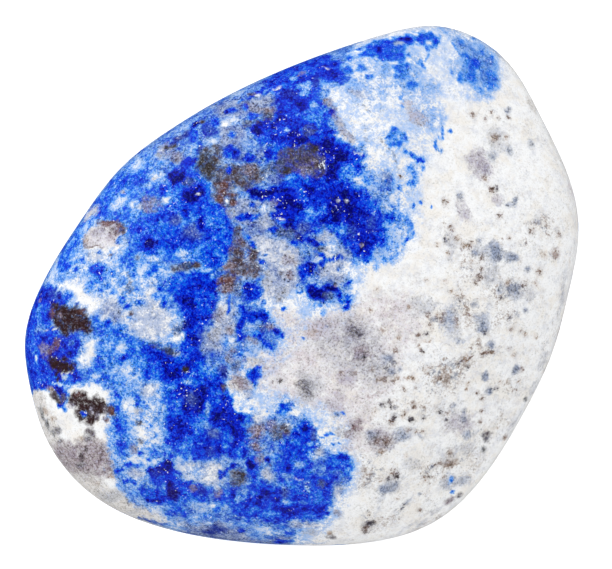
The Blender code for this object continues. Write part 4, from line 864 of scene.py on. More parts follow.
lowerPatches = [
    ("royal", (-8.75, -9.0, 0.22, 0.14, 20)), ("azure", (-8.35, -9.05, 0.2, 0.1)),
    ("navy", (-7.3, -9.35, 0.5, 0.28)), ("violetBlue", (-7.3, -9.4, 0.3, 0.2)),
    ("navy", (-6.75, -9.2, 0.2, 0.4), (-6.75, -8.9, 0.2, 0.14)), ("lavender", (-8.4, -9.4, 0.4, 0.25)),
    ("ultra", (-7.7, -10.3, 0.45, 0.25)), ("azure", (-8.5, -10.4, 0.2, 0.14)),
    ("navy", (-7.3, -10.7, 0.6, 0.12)), ("violet", (-6.55, -10.35, 0.28, 0.45, 15)),
    ("ultra", (-6.7, -10.75, 0.2, 0.12)), ("mist", (-7.0, -10.1, 0.12, 0.16)),
    ("royal", (-6.0, -10.4, 0.25, 0.3)), ("azure", (-5.5, -10.6, 0.3, 0.25)),
    ("violetBlue", (-5.1, -10.3, 0.25, 0.25)), ("mauve", (-5.5, -10.2, 0.2, 0.2)),
    ("ultra", (-5.8, -9.9, 0.3, 0.12)), ("royal", (-5.0, -10.8, 0.14, 0.12)),
    ("mauve", (-4.3, -10.4, 0.25, 0.25)), ("hazy", (-4.6, -10.6, 0.2, 0.3)),
    ("azure", (-6.4, -11.2, 0.35, 0.2), (-6.75, -11.5, 0.2, 0.12), (-6.0, -11.4, 0.14, 0.25)),
    ("mist", (-7.4, -11.2, 0.5, 0.2, 5), (-5.4, -11.7, 0.35, 0.25)), ("azure", (-4.8, -11.5, 0.2, 0.14),
        (-4.3, -11.2, 0.2, 0.2)), ("white", (-4.5, -11.0, 0.14, 0.12)), ("mist", (-4.7, -11.9, 0.2, 0.12),
        (-5.4, -9.4, 0.4, 0.3)), ("sparkles", (-5.3, -9.4, 0.6, 0.4), (-4.3, -9.0, 0.3, 0.3)),
    ("brown", (-3.25, -9.6, 0.38, 0.42)), ("olive", (-3.15, -9.6, 0.2, 0.3)),
    ("greyBrown", (-3.5, -9.9, 0.2, 0.2)), ("navy", (-3.5, -9.0, 0.16, 0.14, 30),
        (-2.6, -9.0, 0.3, 0.14, -30)), ("royal", (-2.3, -9.5, 0.2, 0.25)),
    ("mist", (-2.1, -9.3, 0.2, 0.35)), ("lavender", (-1.8, -9.5, 0.25, 0.35)),
    ("mauve", (-2.2, -8.7, 0.2, 0.3)), ("navy", (-1.8, -8.75, 0.12, 0.14)),
    ("azure", (-1.4, -8.6, 0.25, 0.2)), ("redBrown", (-1.65, -9.0, 0.07, 0.05)),
    ("azure", (-1.3, -9.2, 0.2, 0.2)), ("ultra", (-0.6, -8.8, 0.28, 0.35)),
    ("navy", (-0.7, -9.1, 0.14, 0.16)), ("hazy", (-0.2, -9.0, 0.2, 0.2)),
    ("ultra", (0.0, -7.4, 0.4, 0.35)), ("navy", (0.05, -7.2, 0.16, 0.2)),
    ("dullRoyal", (0.5, -7.5, 0.14, 0.3)), ("azure", (-0.5, -7.8, 0.2, 0.2)),
    ("mist", (0.3, -7.9, 0.14, 0.1)), ("white", (0.7, -7.95, 0.06, 0.1)),
    ("azure", (0.3, -8.5, 0.25, 0.25)), ("mist", (0.6, -8.5, 0.3, 0.25)),
    ("lavender", (0.8, -8.3, 0.25, 0.2)), ("azure", (0.4, -9.3, 0.3, 0.14)),
    ("hazy", (0.7, -9.2, 0.25, 0.3)), ("ultra", (2.0, -8.75, 0.25, 0.25)), ("azure", (1.5, -8.8, 0.3, 0.2),
        (2.15, -9.3, 0.14, 0.2), (1.3, -9.7, 0.4, 0.12)), ("hazy", (1.7, -9.4, 0.25, 0.2)),
    ("sparkles", (1.6, -9.2, 0.4, 0.3)), ("slate", (0.9, -10.0, 0.2, 0.25)),
    ("ultra", (1.2, -10.3, 0.2, 0.3)), ("lavender", (1.7, -10.3, 0.25, 0.35)),
    ("hazy", (0.2, -10.0, 0.3, 0.25)), ("mist", (0.3, -10.3, 0.12, 0.1)), ("hazy", (-0.8, -9.6, 0.3, 0.2)),
    ("royal", (-0.4, -10.2, 0.3, 0.2)), ("dullRoyal", (-0.9, -10.4, 0.25, 0.3)),
    ("navy", (-1.9, -10.5, 0.3, 0.3)), ("violetBlue", (-1.85, -10.6, 0.14, 0.12)),
    ("navy", (-1.4, -10.7, 0.3, 0.2)), ("azure", (-2.4, -10.3, 0.2, 0.2)),
    ("hazy", (-3.0, -10.3, 0.3, 0.2)), ("mist", (-3.2, -10.7, 0.3, 0.14)),
    ("ultra", (-3.6, -10.6, 0.16, 0.2)), ("royal", (-3.3, -11.3, 0.3, 0.25)),
    ("azure", (-2.5, -11.2, 0.3, 0.2)), ("ultra", (-0.6, -11.2, 0.6, 0.25), (0.5, -11.2, 0.5, 0.25)),
    ("azure", (-1.6, -11.5, 0.5, 0.3), (0.3, -11.6, 0.5, 0.12)), ("mist", (-0.9, -10.85, 0.2, 0.1)),
    ("hazy", (0.0, -10.9, 0.2, 0.12)), ("royal", (1.15, -11.4, 0.14, 0.1)),
    ("azure", (-2.8, -11.8, 0.25, 0.12), (-2.1, -12.1, 0.16, 0.1), (-2.15, -12.35, 0.2, 0.08)),
    ("royal", (-3.1, -12.3, 0.2, 0.12)), ("azure", (-1.0, -12.1, 0.1, 0.06)),
    ("royal", (-0.75, -12.4, 0.25, 0.08), (-1.0, -12.85, 0.5, 0.1)), ("mist", (-3.2, -12.0, 0.4, 0.14),
        (-1.6, -12.3, 0.6, 0.14)), ("grey", (0.4, -12.4, 0.5, 0.2)),
    ("greyBrown", (1.4, -12.6, 0.25, 0.14, -20)), ("tan", (1.3, -12.4, 0.14, 0.14)),
    ("lavender", (0.1, -12.0, 0.7, 0.14)), ("mauve", (1.7, -11.4, 0.2, 0.16)),
    ("slateBlue", (-4.4, -12.3, 0.6, 0.2)),
    # Over the gap between the two blue bodies
    ("azure", (-1.0, -6.3, 0.25, 0.35)), ("royal", (-0.8, -6.3, 0.16, 0.12), (-1.1, -6.0, 0.12, 0.12)),
    ("mist", (-0.9, -5.7, 0.2, 0.25)), ("white", (-0.4, -6.4, 0.3, 0.14)),
    ("royal", (-2.7, -6.7, 0.25, 0.2)), ("azure", (-2.6, -6.2, 0.08, 0.08), (-1.85, -6.3, 0.07, 0.07),
        (-2.05, -6.6, 0.14, 0.05)), ("pinkBrown", (-2.4, -7.4, 0.35, 0.35)),
    ("pinkish", (-2.3, -7.2, 0.3, 0.3)), ("pinkBrown", (-2.4, -8.1, 0.3, 0.2)),
    ("redBrown", (-2.5, -8.0, 0.1, 0.06)), ("greyBrown", (-1.3, -7.4, 0.35, 0.35)),
    ("brown", (-0.85, -7.2, 0.2, 0.25)), ("mauve", (-1.7, -7.0, 0.35, 0.25)),
    ("lavender", (-2.3, -6.7, 0.3, 0.3)), ("azure", (-2.7, -7.5, 0.14, 0.1)),
    ("olive", (-1.55, -8.1, 0.06, 0.06)), ("hazy", (-1.5, -8.2, 0.3, 0.2)),
    ("azure", (-1.0, -8.1, 0.2, 0.14)), ("brown", (-4.0, -5.1, 0.12, 0.25)),
]

rightPatches = [
    ("azure", (4.85, 9.3, 0.1, 0.1), (4.88, 8.95, 0.07, 0.08)), ("royal", (4.45, 11.3, 0.25, 0.14)),
    ("navy", (3.8, 11.75, 0.14, 0.2)), ("royal", (4.3, 12.15, 0.25, 0.1)),
    ("lavender", (4.8, 12.1, 0.3, 0.1)), ("azure", (2.3, 11.3, 0.25, 0.14), (2.2, 10.75, 0.2, 0.25),
        (2.9, 10.8, 0.35, 0.2), (3.3, 10.4, 0.25, 0.14), (2.8, 11.8, 0.2, 0.1)),
    ("lavender", (2.7, 9.6, 0.5, 0.2, -20)), ("azure", (5.1, 10.7, 0.5, 0.4)),
    ("royal", (5.3, 10.75, 0.2, 0.2)), ("azure", (5.4, 10.2, 0.35, 0.3), (4.9, 10.1, 0.2, 0.3),
        (4.6, 10.4, 0.14, 0.14), (4.7, 10.9, 0.25, 0.14)), ("mist", (5.0, 9.9, 0.5, 0.3),
        (5.4, 11.5, 0.3, 0.3)), ("azure", (5.2, 11.5, 0.14, 0.1), (5.85, 11.1, 0.14, 0.2)),
    ("mist", (5.9, 9.5, 0.14, 0.2), (5.6, 10.6, 0.4, 0.4)), ("navy", (5.2, 12.3, 0.2, 0.12)),
    ("ultra", (5.9, 12.35, 0.3, 0.14)), ("navy", (4.9, 12.3, 0.1, 0.1)),
    ("white", (6.25, 12.15, 0.2, 0.12)), ("royal", (6.6, 12.15, 0.12, 0.12)),
    ("white", (5.6, 12.1, 0.12, 0.06)), ("mist", (7.2, 12.75, 0.7, 0.2, -5), (6.2, 9.6, 0.2, 0.1),
        (6.55, 9.7, 0.2, 0.1), (6.3, 8.8, 0.2, 0.14), (6.45, 8.4, 0.2, 0.1)),
    ("pale", (5.5, 9.9, 0.9, 0.5)), ("azure", (5.4, 10.0, 0.3, 0.2)), ("pale", (6.3, 8.6, 0.7, 0.6),
        (6.4, 9.9, 0.5, 0.4)),
    # The blue island near the top corner
    ("hazy", (8.7, 11.0, 1.0, 1.1, -40), (8.0, 12.0, 0.7, 0.35, -35), (9.3, 10.3, 0.5, 0.5)),
    ("azure", (8.0, 11.3, 0.3, 0.4, -30)), ("royal", (8.0, 11.4, 0.2, 0.2)),
    ("azure", (8.55, 10.9, 0.4, 0.45, -20)), ("royal", (8.6, 11.15, 0.25, 0.2, -20)),
    ("azure", (8.4, 10.4, 0.3, 0.4), (9.4, 10.5, 0.3, 0.3), (9.3, 10.0, 0.35, 0.2),
        (8.75, 9.75, 0.3, 0.16, -35)), ("mist", (8.75, 10.6, 0.1, 0.25)),
    ("azure", (7.9, 12.15, 0.16, 0.12), (7.4, 10.65, 0.07, 0.14), (7.8, 10.3, 0.14, 0.2),
        (7.8, 10.6, 0.12, 0.12), (8.9, 11.65, 0.14, 0.1), (9.4, 11.4, 0.12, 0.14),
        (8.5, 12.3, 0.14, 0.06)), ("mist", (7.7, 11.0, 0.3, 0.6, -20)), ("pale", (8.9, 9.5, 0.6, 0.25),
        (9.2, 12.0, 0.6, 0.3, -40)),
    # Loose azure on the white
    ("mistBlue", (4.6, 7.3, 0.5, 0.4)), ("azure", (4.6, 7.1, 0.25, 0.16), (4.5, 7.75, 0.2, 0.14),
        (4.3, 7.4, 0.14, 0.14), (5.05, 7.45, 0.12, 0.2)), ("mistBlue", (5.8, 6.3, 0.25, 0.16, -20)),
    ("royal", (5.85, 6.25, 0.2, 0.1, -20)), ("mistBlue", (5.2, 6.6, 0.2, 0.12, -30)),
    ("azure", (6.0, 5.85, 0.1, 0.1)), ("mistBlue", (5.5, 5.5, 0.3, 0.45)), ("azure", (5.4, 5.1, 0.2, 0.1)),
    ("mistBlue", (5.3, 5.9, 0.14, 0.1)), ("violetMist", (4.1, 5.4, 0.25, 0.35)),
    ("azure", (4.1, 5.2, 0.1, 0.1)), ("mistBlue", (4.7, 4.9, 0.14, 0.16)),
    ("azure", (5.5, 3.95, 0.06, 0.12), (5.85, 4.1, 0.07, 0.07), (4.75, 4.15, 0.07, 0.14),
        (6.35, 3.9, 0.07, 0.04), (7.35, 7.7, 0.12, 0.08)), ("mist", (4.5, 4.3, 0.3, 0.7)),
    ("mistBlue", (4.8, 2.5, 0.25, 0.2), (4.6, 3.5, 0.3, 0.3)), ("mist", (4.9, 2.9, 0.4, 0.5)),
    ("royal", (4.3, 3.3, 0.25, 0.3)), ("mist", (4.5, 1.5, 0.4, 0.3)), ("azure", (4.05, 1.3, 0.12, 0.2)),
    # Dusty places on the white side, where the small flecks crowd
    ("dusty", (9.3, 8.6, 1.1, 0.5), (9.7, 7.2, 0.7, 0.9), (7.2, 2.6, 0.5, 0.8), (8.6, 1.8, 1.4, 0.9, -20),
        (9.6, 0.6, 0.9, 0.9), (11.9, 2.2, 0.8, 1.0), (6.3, -2.3, 0.7, 1.0), (9.0, -2.7, 0.6, 1.0),
        (7.3, -4.1, 1.4, 0.6, 10), (3.9, -6.3, 0.8, 0.9), (5.4, -6.7, 0.9, 0.8), (7.4, -6.3, 0.7, 0.6),
        (10.2, -4.8, 0.7, 0.4), (3.9, -10.1, 1.1, 1.0, 30), (6.8, -9.2, 1.2, 0.5, 10),
        (7.8, -1.2, 0.5, 0.7), (4.3, -4.2, 0.6, 0.7), (9.0, -7.8, 0.5, 0.8, 20)),
    # Soft greys, mauves and tans of the white side, and painted shade in thin lines along its rim
    ("mauve", (2.5, -2.5, 0.5, 0.6)), ("mauveFaint", (0.9, -2.1, 0.7, 0.4)),
    ("tan", (0.5, -2.3, 0.25, 0.2)), ("pinkBrown", (2.9, -3.5, 0.45, 0.4)),
    ("greyFaintAndRimShade", (3.8, -4.6, 0.7, 0.5)), ("mauveFaint", (1.6, -5.8, 0.5, 0.4), (2.1, -4.5, 0.3, 0.4)),
    ("greyFaintAndRimShade", (0.2, -5.2, 0.5, 0.8)), ("pinkBrown", (2.6, -7.1, 0.35, 0.4)),
    ("mauve", (4.0, -7.8, 0.6, 0.35)), ("tan", (7.3, -8.9, 0.5, 0.25)),
    ("slateFaint", (7.3, -9.8, 0.45, 0.4), (4.1, -10.1, 0.4, 0.25, 30)),
    ("mauveFaint", (7.8, -6.9, 0.8, 0.5)), ("greyFaintAndRimShade", (6.0, -1.0, 0.6, 0.5)),
    ("slateFaint", (7.3, -1.7, 0.5, 0.6), (8.9, -1.7, 0.35, 0.3)), ("greyFaintAndRimShade", (9.3, 0.6, 0.6, 0.6)),
    ("slateFaint", (9.5, 1.6, 0.5, 0.4)), ("mauveFaint", (8.8, 6.0, 0.5, 0.7, 20)),
    ("greyFaintAndRimShade", (9.7, 7.3, 0.5, 0.6)), ("mauveFaint", (5.7, 8.4, 0.5, 0.3, -30), (5.2, 9.0, 0.3, 0.2)),
    ("greyFaintAndRimShade", (5.8, 8.1, 0.3, 0.12)), ("mauveFaint", (9.0, 5.9, 0.35, 0.5)),
    ("mauve", (9.15, 5.75, 0.14, 0.3)), ("mauveFaint", (9.7, 4.3, 0.25, 0.3), (8.4, 6.3, 0.4, 0.2),
        # The faint pink line on the right rim, on the next line, is painted shade where the rim turns away
        # from the light
        (12.6, 1.6, 0.25, 0.3)), ("pinkFaintAndRimShade", (13.35, 4.8, 0.14, 0.5, 15)),
    ("mauveFaint", (8.0, 3.7, 0.3, 0.5, 20)), ("greyFaintAndRimShade", (10.5, -0.3, 0.4, 0.3, -30)),
    ("slateFleck", (9.85, -0.3, 0.12, 0.4)), ("greyFaintAndRimShade", (7.4, 2.3, 0.35, 0.45)),
    ("slateFaint", (10.4, 1.4, 0.3, 0.2)), ("greyFaintAndRimShade", (11.3, -0.5, 0.3, 0.4)),
    ("slateFaint", (9.6, 1.8, 0.2, 0.3)), ("greyFaintAndRimShade", (7.3, 1.5, 0.14, 0.35), (8.7, 1.6, 0.4, 0.3)),
    ("slateFaint", (9.0, -2.1, 0.3, 0.2), (9.4, -3.0, 0.2, 0.16), (7.8, -2.8, 0.25, 0.14)),
    ("greyFaintAndRimShade", (7.6, -2.3, 0.4, 0.3)), ("slateFaint", (10.65, -4.2, 0.2, 0.25), (9.1, -4.6, 0.14, 0.25),
        (9.3, -5.3, 0.2, 0.14, 20), (4.25, -3.6, 0.25, 0.14)), ("greyFaintAndRimShade", (3.6, -4.1, 0.4, 0.14)),
    ("greyBrown", (2.6, -2.35, 0.35, 0.25, -30)), ("greyFaintAndRimShade", (2.3, -2.9, 0.4, 0.25)),
    ("greyBrown", (2.8, -2.5, 0.2, 0.14)), ("mauveFaint", (1.6, -2.7, 0.2, 0.25)),
    ("mauve", (2.8, -3.6, 0.3, 0.16)), ("black", (3.0, -3.63, 0.1, 0.08)),
    ("pinkFaintAndRimShade", (0.6, -2.2, 0.5, 0.4), (4.6, -1.2, 0.6, 0.5)), ("greyBrown", (0.1, -5.0, 0.35, 0.3),
        (0.2, -5.4, 0.3, 0.25)), ("greyFaintAndRimShade", (0.6, -5.0, 0.4, 0.4)), ("brown", (-0.35, -4.95, 0.1, 0.1)),
    ("greyFaintAndRimShade", (0.1, -4.5, 0.35, 0.2)), ("mauveFaint", (2.2, -4.7, 0.4, 0.4)),
    ("pinkFaintAndRimShade", (0.2, -3.5, 0.5, 0.4)), ("pinkBrown", (2.8, -6.8, 0.2, 0.14)),
    ("redBrown", (2.5, -7.15, 0.14, 0.12)), ("pinkBrown", (2.3, -7.5, 0.25, 0.2)),
    ("pinkFaintAndRimShade", (2.2, -8.1, 0.35, 0.25)), ("redBrown", (3.65, -7.75, 0.14, 0.14),
        (4.1, -7.8, 0.12, 0.2)), ("mauveFaint", (3.8, -7.4, 0.4, 0.35)),
    ("slateFaint", (1.6, -6.5, 0.2, 0.16)), ("greyFaintAndRimShade", (1.9, -7.3, 0.3, 0.3)),
    ("slateFaint", (5.0, -7.5, 0.5, 0.35)), ("greyFaintAndRimShade", (7.3, -8.5, 0.8, 0.35, 25),
        (8.3, -8.2, 0.35, 0.3)), ("slateFaint", (8.2, -7.5, 0.3, 0.25)),
    ("greyFaintAndRimShade", (5.5, -9.0, 0.4, 0.3)), ("greyBrown", (9.15, -7.6, 0.2, 0.3, 30)),
    ("brown", (9.3, -7.4, 0.2, 0.1)), ("greenGrey", (9.0, -8.2, 0.16, 0.2)),
    ("tan", (10.1, -7.65, 0.16, 0.12)), ("mistBlue", (7.35, -9.75, 0.14, 0.25)),
    ("azure", (7.4, -9.7, 0.08, 0.16), (7.45, -10.35, 0.1, 0.1)), ("slateFaint", (8.0, -9.8, 0.4, 0.25)),
    ("greyBrown", (7.8, -10.5, 0.2, 0.16)), ("pinkBrown", (7.3, -10.8, 0.3, 0.16, 30)),
    ("greyFaintAndRimShade", (7.1, -9.9, 0.12, 0.3)), ("slateFaint", (4.1, -10.2, 0.3, 0.2)),
    ("greyFaintAndRimShade", (4.5, -10.1, 0.4, 0.3)), ("olive", (3.4, -11.9, 0.22, 0.16, 10)),
    ("greyBrown", (3.2, -12.0, 0.3, 0.25)), ("brown", (3.1, -12.3, 0.14, 0.16)),
    # The long thin grey lines here along the lower, right and upper right rim, and the thin beige line on the
    # upper right rim, are painted shade where the rim turns away from the light
    ("greenGrey", (11.1, -5.75, 0.2, 0.12, -20)), ("greyFaintAndRimShade", (11.6, -5.3, 0.5, 0.2, 60),
        (10.5, -7.0, 0.6, 0.14, 60), (12.0, -3.8, 0.5, 0.14, 65), (12.9, -0.5, 0.16, 1.2, -10),
        (5.6, -12.0, 0.7, 0.14, 18), (6.5, -11.3, 0.5, 0.14, 20)), ("beigeAndRimShade", (11.4, 9.0, 0.12, 0.5, 35)),
    ("greyFaintAndRimShade", (10.1, 11.5, 0.12, 0.5, 45)),
]

# Small flecks on the white, each (x, y) with its size
fleckGroups = {
    "brownFleck": [
        (8.45, 8.55, 0.14), (9.1, 8.3, 0.1), (9.45, 8.6, 0.1), (9.75, 8.3, 0.1), (10.25, 8.35, 0.1),
        (9.65, 7.4, 0.12), (4.85, 5.45, 0.1), (7.1, 4.15, 0.16), (9.4, 4.8, 0.14), (9.8, 3.45, 0.14),
        (11.4, 2.65, 0.14), (12.8, 2.5, 0.14), (7.4, 2.9, 0.14), (8.4, 2.1, 0.1), (8.3, 1.9, 0.12),
        (8.9, 1.3, 0.12), (8.8, 0.4, 0.14), (8.9, 0.8, 0.1), (8.6, 0.1, 0.1), (11.0, 0.0, 0.16),
        (11.8, 0.6, 0.14), (4.6, -3.25, 0.12), (4.05, -4.75, 0.12), (4.5, -4.8, 0.1), (6.2, -1.55, 0.13),
        (6.3, -1.95, 0.11), (6.9, -1.75, 0.11), (7.0, -1.4, 0.09), (5.7, -2.5, 0.12), (6.35, -4.15, 0.1),
        (6.8, -4.65, 0.12), (7.1, -5.05, 0.1), (5.0, -5.2, 0.12), (8.25, -1.5, 0.1), (7.65, -1.7, 0.1),
        (9.3, -3.4, 0.1), (8.95, -3.5, 0.12), (10.95, -4.2, 0.12), (10.3, -3.2, 0.1), (10.35, -2.2, 0.12),
        (10.9, -2.3, 0.1), (8.7, -5.4, 0.1), (8.95, -5.65, 0.12), (5.95, -7.3, 0.11), (4.4, -6.85, 0.16),
        (3.65, -7.75, 0.15), (4.15, -7.75, 0.15), (4.5, -9.4, 0.2), (6.55, -9.05, 0.1), (3.1, -12.2, 0.16),
        (3.25, -11.5, 0.08), (5.8, -11.25, 0.12), (8.85, -6.85, 0.11), (10.05, -7.6, 0.12),
        (7.3, -9.0, 0.16), (6.8, -8.9, 0.12), (5.1, -6.35, 0.12), (5.55, -6.05, 0.12), (7.2, -6.4, 0.1),
        (8.9, -6.3, 0.1), (3.4, -4.2, 0.1), (2.6, -4.4, 0.1), (1.85, -4.4, 0.1),
    ],
    "blackFleck": [
        (9.65, 4.85, 0.11), (7.1, 2.3, 0.11), (9.75, 1.3, 0.1), (4.5, -3.87, 0.12), (4.15, -4.2, 0.1),
        (7.85, -0.75, 0.1), (9.05, -2.4, 0.12), (10.3, -1.65, 0.1), (8.2, -4.1, 0.09), (5.4, -6.75, 0.12),
        (5.35, -6.7, 0.1), (4.2, -9.7, 0.11), (4.7, -9.6, 0.15), (6.15, -9.4, 0.08), (6.3, -9.6, 0.08),
        (3.2, -11.3, 0.06), (4.3, -5.8, 0.12), (3.95, -6.0, 0.12), (4.4, -6.1, 0.12), (4.6, -6.55, 0.1),
        (6.0, -6.6, 0.1), (6.85, -6.35, 0.12), (7.15, -6.75, 0.08), (4.5, -6.7, 0.1), (6.15, -2.45, 0.11),
        (5.95, -3.3, 0.09), (9.65, -5.15, 0.1), (9.9, -0.7, 0.1),
    ],
    "slateFleck": [
        (10.2, 8.65, 0.12), (10.3, 8.8, 0.1), (10.3, 6.7, 0.16), (9.5, 6.5, 0.2), (11.4, 7.1, 0.15),
        (7.83, 4.45, 0.15), (10.5, 4.1, 0.14), (10.6, 4.3, 0.1), (10.2, 4.0, 0.1), (11.7, 3.2, 0.16),
        (8.8, 2.2, 0.12), (8.6, 1.6, 0.12), (9.5, 1.8, 0.1), (9.7, 1.6, 0.22), (10.3, 1.3, 0.14),
        (10.6, 1.35, 0.12), (11.2, 0.8, 0.12), (4.2, -3.7, 0.2), (4.43, -4.35, 0.15), (4.85, -4.2, 0.1),
        (8.55, -0.95, 0.13), (11.1, -1.25, 0.13), (8.95, -2.1, 0.2), (9.4, -3.0, 0.16), (9.05, -4.6, 0.15),
        (9.3, -5.25, 0.16), (10.65, -4.2, 0.16), (4.65, -9.95, 0.14), (4.0, -10.25, 0.18),
        (4.4, -10.2, 0.15), (6.4, -9.1, 0.1), (5.8, -10.45, 0.07), (8.0, -6.7, 0.14), (7.5, -6.05, 0.1),
        (8.05, -6.3, 0.1), (3.4, -7.5, 0.2), (6.55, -1.7, 0.12), (10.5, -0.3, 0.3),
    ],
    "tanFleck": [
        (3.4, -1.25, 0.1), (3.65, -0.3, 0.12), (4.0, -2.25, 0.12), (4.75, -2.65, 0.1), (5.3, -1.1, 0.1),
        (6.7, -1.5, 0.12), (5.75, -3.0, 0.1), (6.05, -4.3, 0.12), (5.4, -4.65, 0.16), (8.1, -3.6, 0.14),
        (8.85, -3.2, 0.1), (9.5, -3.4, 0.1), (9.85, -4.8, 0.1), (10.25, -4.8, 0.1), (10.75, -4.8, 0.1),
        (10.3, 2.4, 0.12), (12.0, 1.5, 0.16), (11.6, 0.1, 0.14), (10.2, 0.1, 0.1), (7.2, 1.6, 0.1),
        (6.7, 2.0, 0.12), (7.7, 2.4, 0.14), (8.0, 1.95, 0.14), (8.4, 1.2, 0.12), (7.7, -2.0, 0.1),
        (7.4, -0.3, 0.1), (3.9, -8.3, 0.14), (5.6, -7.3, 0.1), (5.2, -7.25, 0.1), (3.85, -9.75, 0.11),
        (4.65, -10.7, 0.1), (6.1, -9.7, 0.16), (7.0, -9.6, 0.1), (5.1, -8.55, 0.09), (9.7, -7.15, 0.07),
        (9.1, -7.25, 0.08), (7.3, -8.4, 0.15), (4.95, -6.6, 0.1), (3.6, -6.35, 0.15), (4.7, -4.65, 0.1),
        (3.75, -4.7, 0.1), (8.15, -5.2, 0.1), (8.2, -4.9, 0.1), (10.5, -3.5, 0.12), (11.1, -2.5, 0.1),
        (11.6, -2.6, 0.12), (12.6, 1.6, 0.2), (6.15, 0.25, 0.1), (7.1, 0.2, 0.1), (9.1, 5.3, 0.12),
        (10.1, 7.4, 0.1), (9.5, 7.35, 0.12),
    ],
}

# The rim below the widest line and the underside, which carry on as the broad face does

hiddenPatches = {
    "seed": 7,
    "count": 420,
    "blueSide": 1.2,  # the blue lies left of this, with a ragged border
    "blueLean": 0.12,  # how far that border leans to the right towards +Y
    "whiteCorner": (-12.5, -9.5, 5.0),
    "cornerReach": 4.6,  # the white that comes over the rim round this corner
    "whiteFront": -11.2,  # and along the front rim, past this Y
    "sizes": (0.25, 1.5),
    "blueWaves": [(1.3, 0.09, 41), (0.7, 0.35, 42)],  # strength, waves per millimetre and seed there
    "blueFade": 1.6,
    "sparsest": 2.5,  # the higher, the fewer large patches among the small
    "whiteShare": 0.55,  # patches in the white are this much smaller
    "inBlue": ["royal", "ultra", "azure", "hazy", "pale", "navy", "royal", "ultra", "white", "greyBrown",
               "mauve"],
    "inWhite": ["greyFaintAndRimShade", "tan", "slateFaint", "cream", "mauveFaint", "pinkFaintAndRimShade", "white", "mistBlue"],
}

painting = {
    "warpSeed": 3,
    "warps": [(0.5, 0.05), (1.4, 0.05), (3.2, 0.05)],  # waves per millimetre and how far they push
    "warpFrom": 0.7,  # smaller patches than this are bent less
    "depthShare": 1.2,  # how deep a patch reaches into the stone beside its width
    "depthLeast": 0.12,
    "fleckSwell": 1.35,
    "bodyBorder": 0.34,  # how wide the border of a body is
    "underside": (0.34, 0.3),  # how upright a place is where the hidden side begins, and how softly it does
    "rimSteps": (1.0, 0.985, 0.96, 0.93, 0.88),  # a place just off the stone is drawn in by these
}

# The colour layers that the skin carries for its material, and what their four channels hold.
# The last channel of lazurite says how thick the painted highlight specks are.
paintLayers = {
    "lazurite": ("depth", "haze", "violet", "sparkle"),
    "stain": ("stainRed", "stainGreen", "stainBlue", "cover"),
    "loose": ("flecks", "soft", "crisp", "whole"),
}

looseFlecks = {
    "share": 0.35,  # at the place below, and how it grows along X and Y
    "from": (3, 1),
    "grows": (0.05, -0.04),
    "limits": (0.1, 0.7),
    "dusty": 0.35,
    "most": 0.9,
    "bluest": 0.2,  # no loose flecks where the blue is deeper than this
    "softFrom": 9,  # past this much X and Y together the picture gets soft
    "softOver": 8,
}


def screen(red, green, blue):
    # Screen values from 0 to 255 as linear light
    values = np.array([red, green, blue]) / 255
    return np.where(values <= 0.04045, values / 12.92, ((values + 0.055) / 1.055) ** 2.4)


def waves(places, perMillimetre, seed, count=30):
    # Smooth random field of about unit strength
    chance = np.random.default_rng(seed)
    directions = chance.normal(size=(count, 3))
    directions /= np.linalg.norm(directions, axis=1)[:, None]
    lengths = 2 * math.pi * perMillimetre * chance.uniform(0.5, 1.5, count)
    phases = chance.uniform(0, 2 * math.pi, count)
    field = np.zeros(len(places))
    for direction, length, phase in zip(directions, lengths, phases):
        field += np.cos(places @ (direction * length) + phase)
    return field / math.sqrt(count / 2)


def warpOf(places, plan):
    push = np.zeros_like(places)
    for step, (perMillimetre, strength) in enumerate(plan["warps"]):
        for axis in range(3):
            push[:, axis] += strength * waves(places, perMillimetre, plan["warpSeed"] + 10 * step + axis)
    return push


def freshPaint(places, normals):
    # The skin's points and what is painted on them. They are sorted by X, so that a patch finds its own.
    channels = ("depth", "haze", "violet", "sparkle", "dust", "cover", "crisp")
    paint = {name: np.zeros(len(places)) for name in channels}
    paint["stain"] = np.zeros((len(places), 3))
    paint["places"] = places
    paint["push"] = warpOf(places, painting)
    paint["order"] = np.argsort(places[:, 0])
    paint["sortedX"] = places[paint["order"], 0]
    upright, softly = painting["underside"]
    paint["hidden"] = np.clip((upright - normals[:, 2]) / softly, 0, 1)

    # Where the camera sees each point, at the scale of the widest line
    middle = np.array(view["middle"]) * 1000
    away = cameraAway() * 1000
    nearer = away / (away + view["girdle"] * 1000 - places[:, 2])
    paint["picture"] = middle + (places[:, :2] - middle) * nearer[:, None] + paint["push"][:, :2]
    return paint


def pointsNear(paint, middle, reach):
    low, high = np.searchsorted(paint["sortedX"], (middle[0] - reach, middle[0] + reach))
    found = paint["order"][low:high]
    return found[np.abs(paint["places"][found, 1:] - middle[1:]).max(axis=1) < reach]


def layMineral(paint, look, near, weight):
    # Lays one mineral over the points, softly by weight
    weight = weight * weight * (3 - 2 * weight)
    for channel in ("depth", "haze", "violet", "sparkle", "dust"):
        if channel in look:
            paint[channel][near] += (look[channel] - paint[channel][near]) * weight
    if "clears" in look:
        paint["cover"][near] *= 1 - weight * look["clears"]
    if "stain" in look:
        over = weight * look["cover"]
        under = paint["cover"][near] * (1 - over)
        whole = np.maximum(over + under, 1e-6)
        mixed = over[:, None] * screen(*look["stain"]) + under[:, None] * paint["stain"][near]
        paint["stain"][near] = mixed / whole[:, None]
        paint["crisp"][near] = (over * look.get("crisp", 0) + under * paint["crisp"][near]) / whole
        paint["cover"][near] = over + under


def pointsSeen(paint, corners, margin):
    low, high = corners.min(axis=0) - margin, corners.max(axis=0) + margin
    seen = paint["picture"]
    return np.flatnonzero((paint["hidden"] < 1) & (seen > low).all(axis=1) & (seen < high).all(axis=1))


def farFromLine(points, start, end):
    way = end - start
    share = np.clip((points - start) @ way / (way @ way), 0, 1)
    return np.linalg.norm(points - start - share[:, None] * way, axis=1)


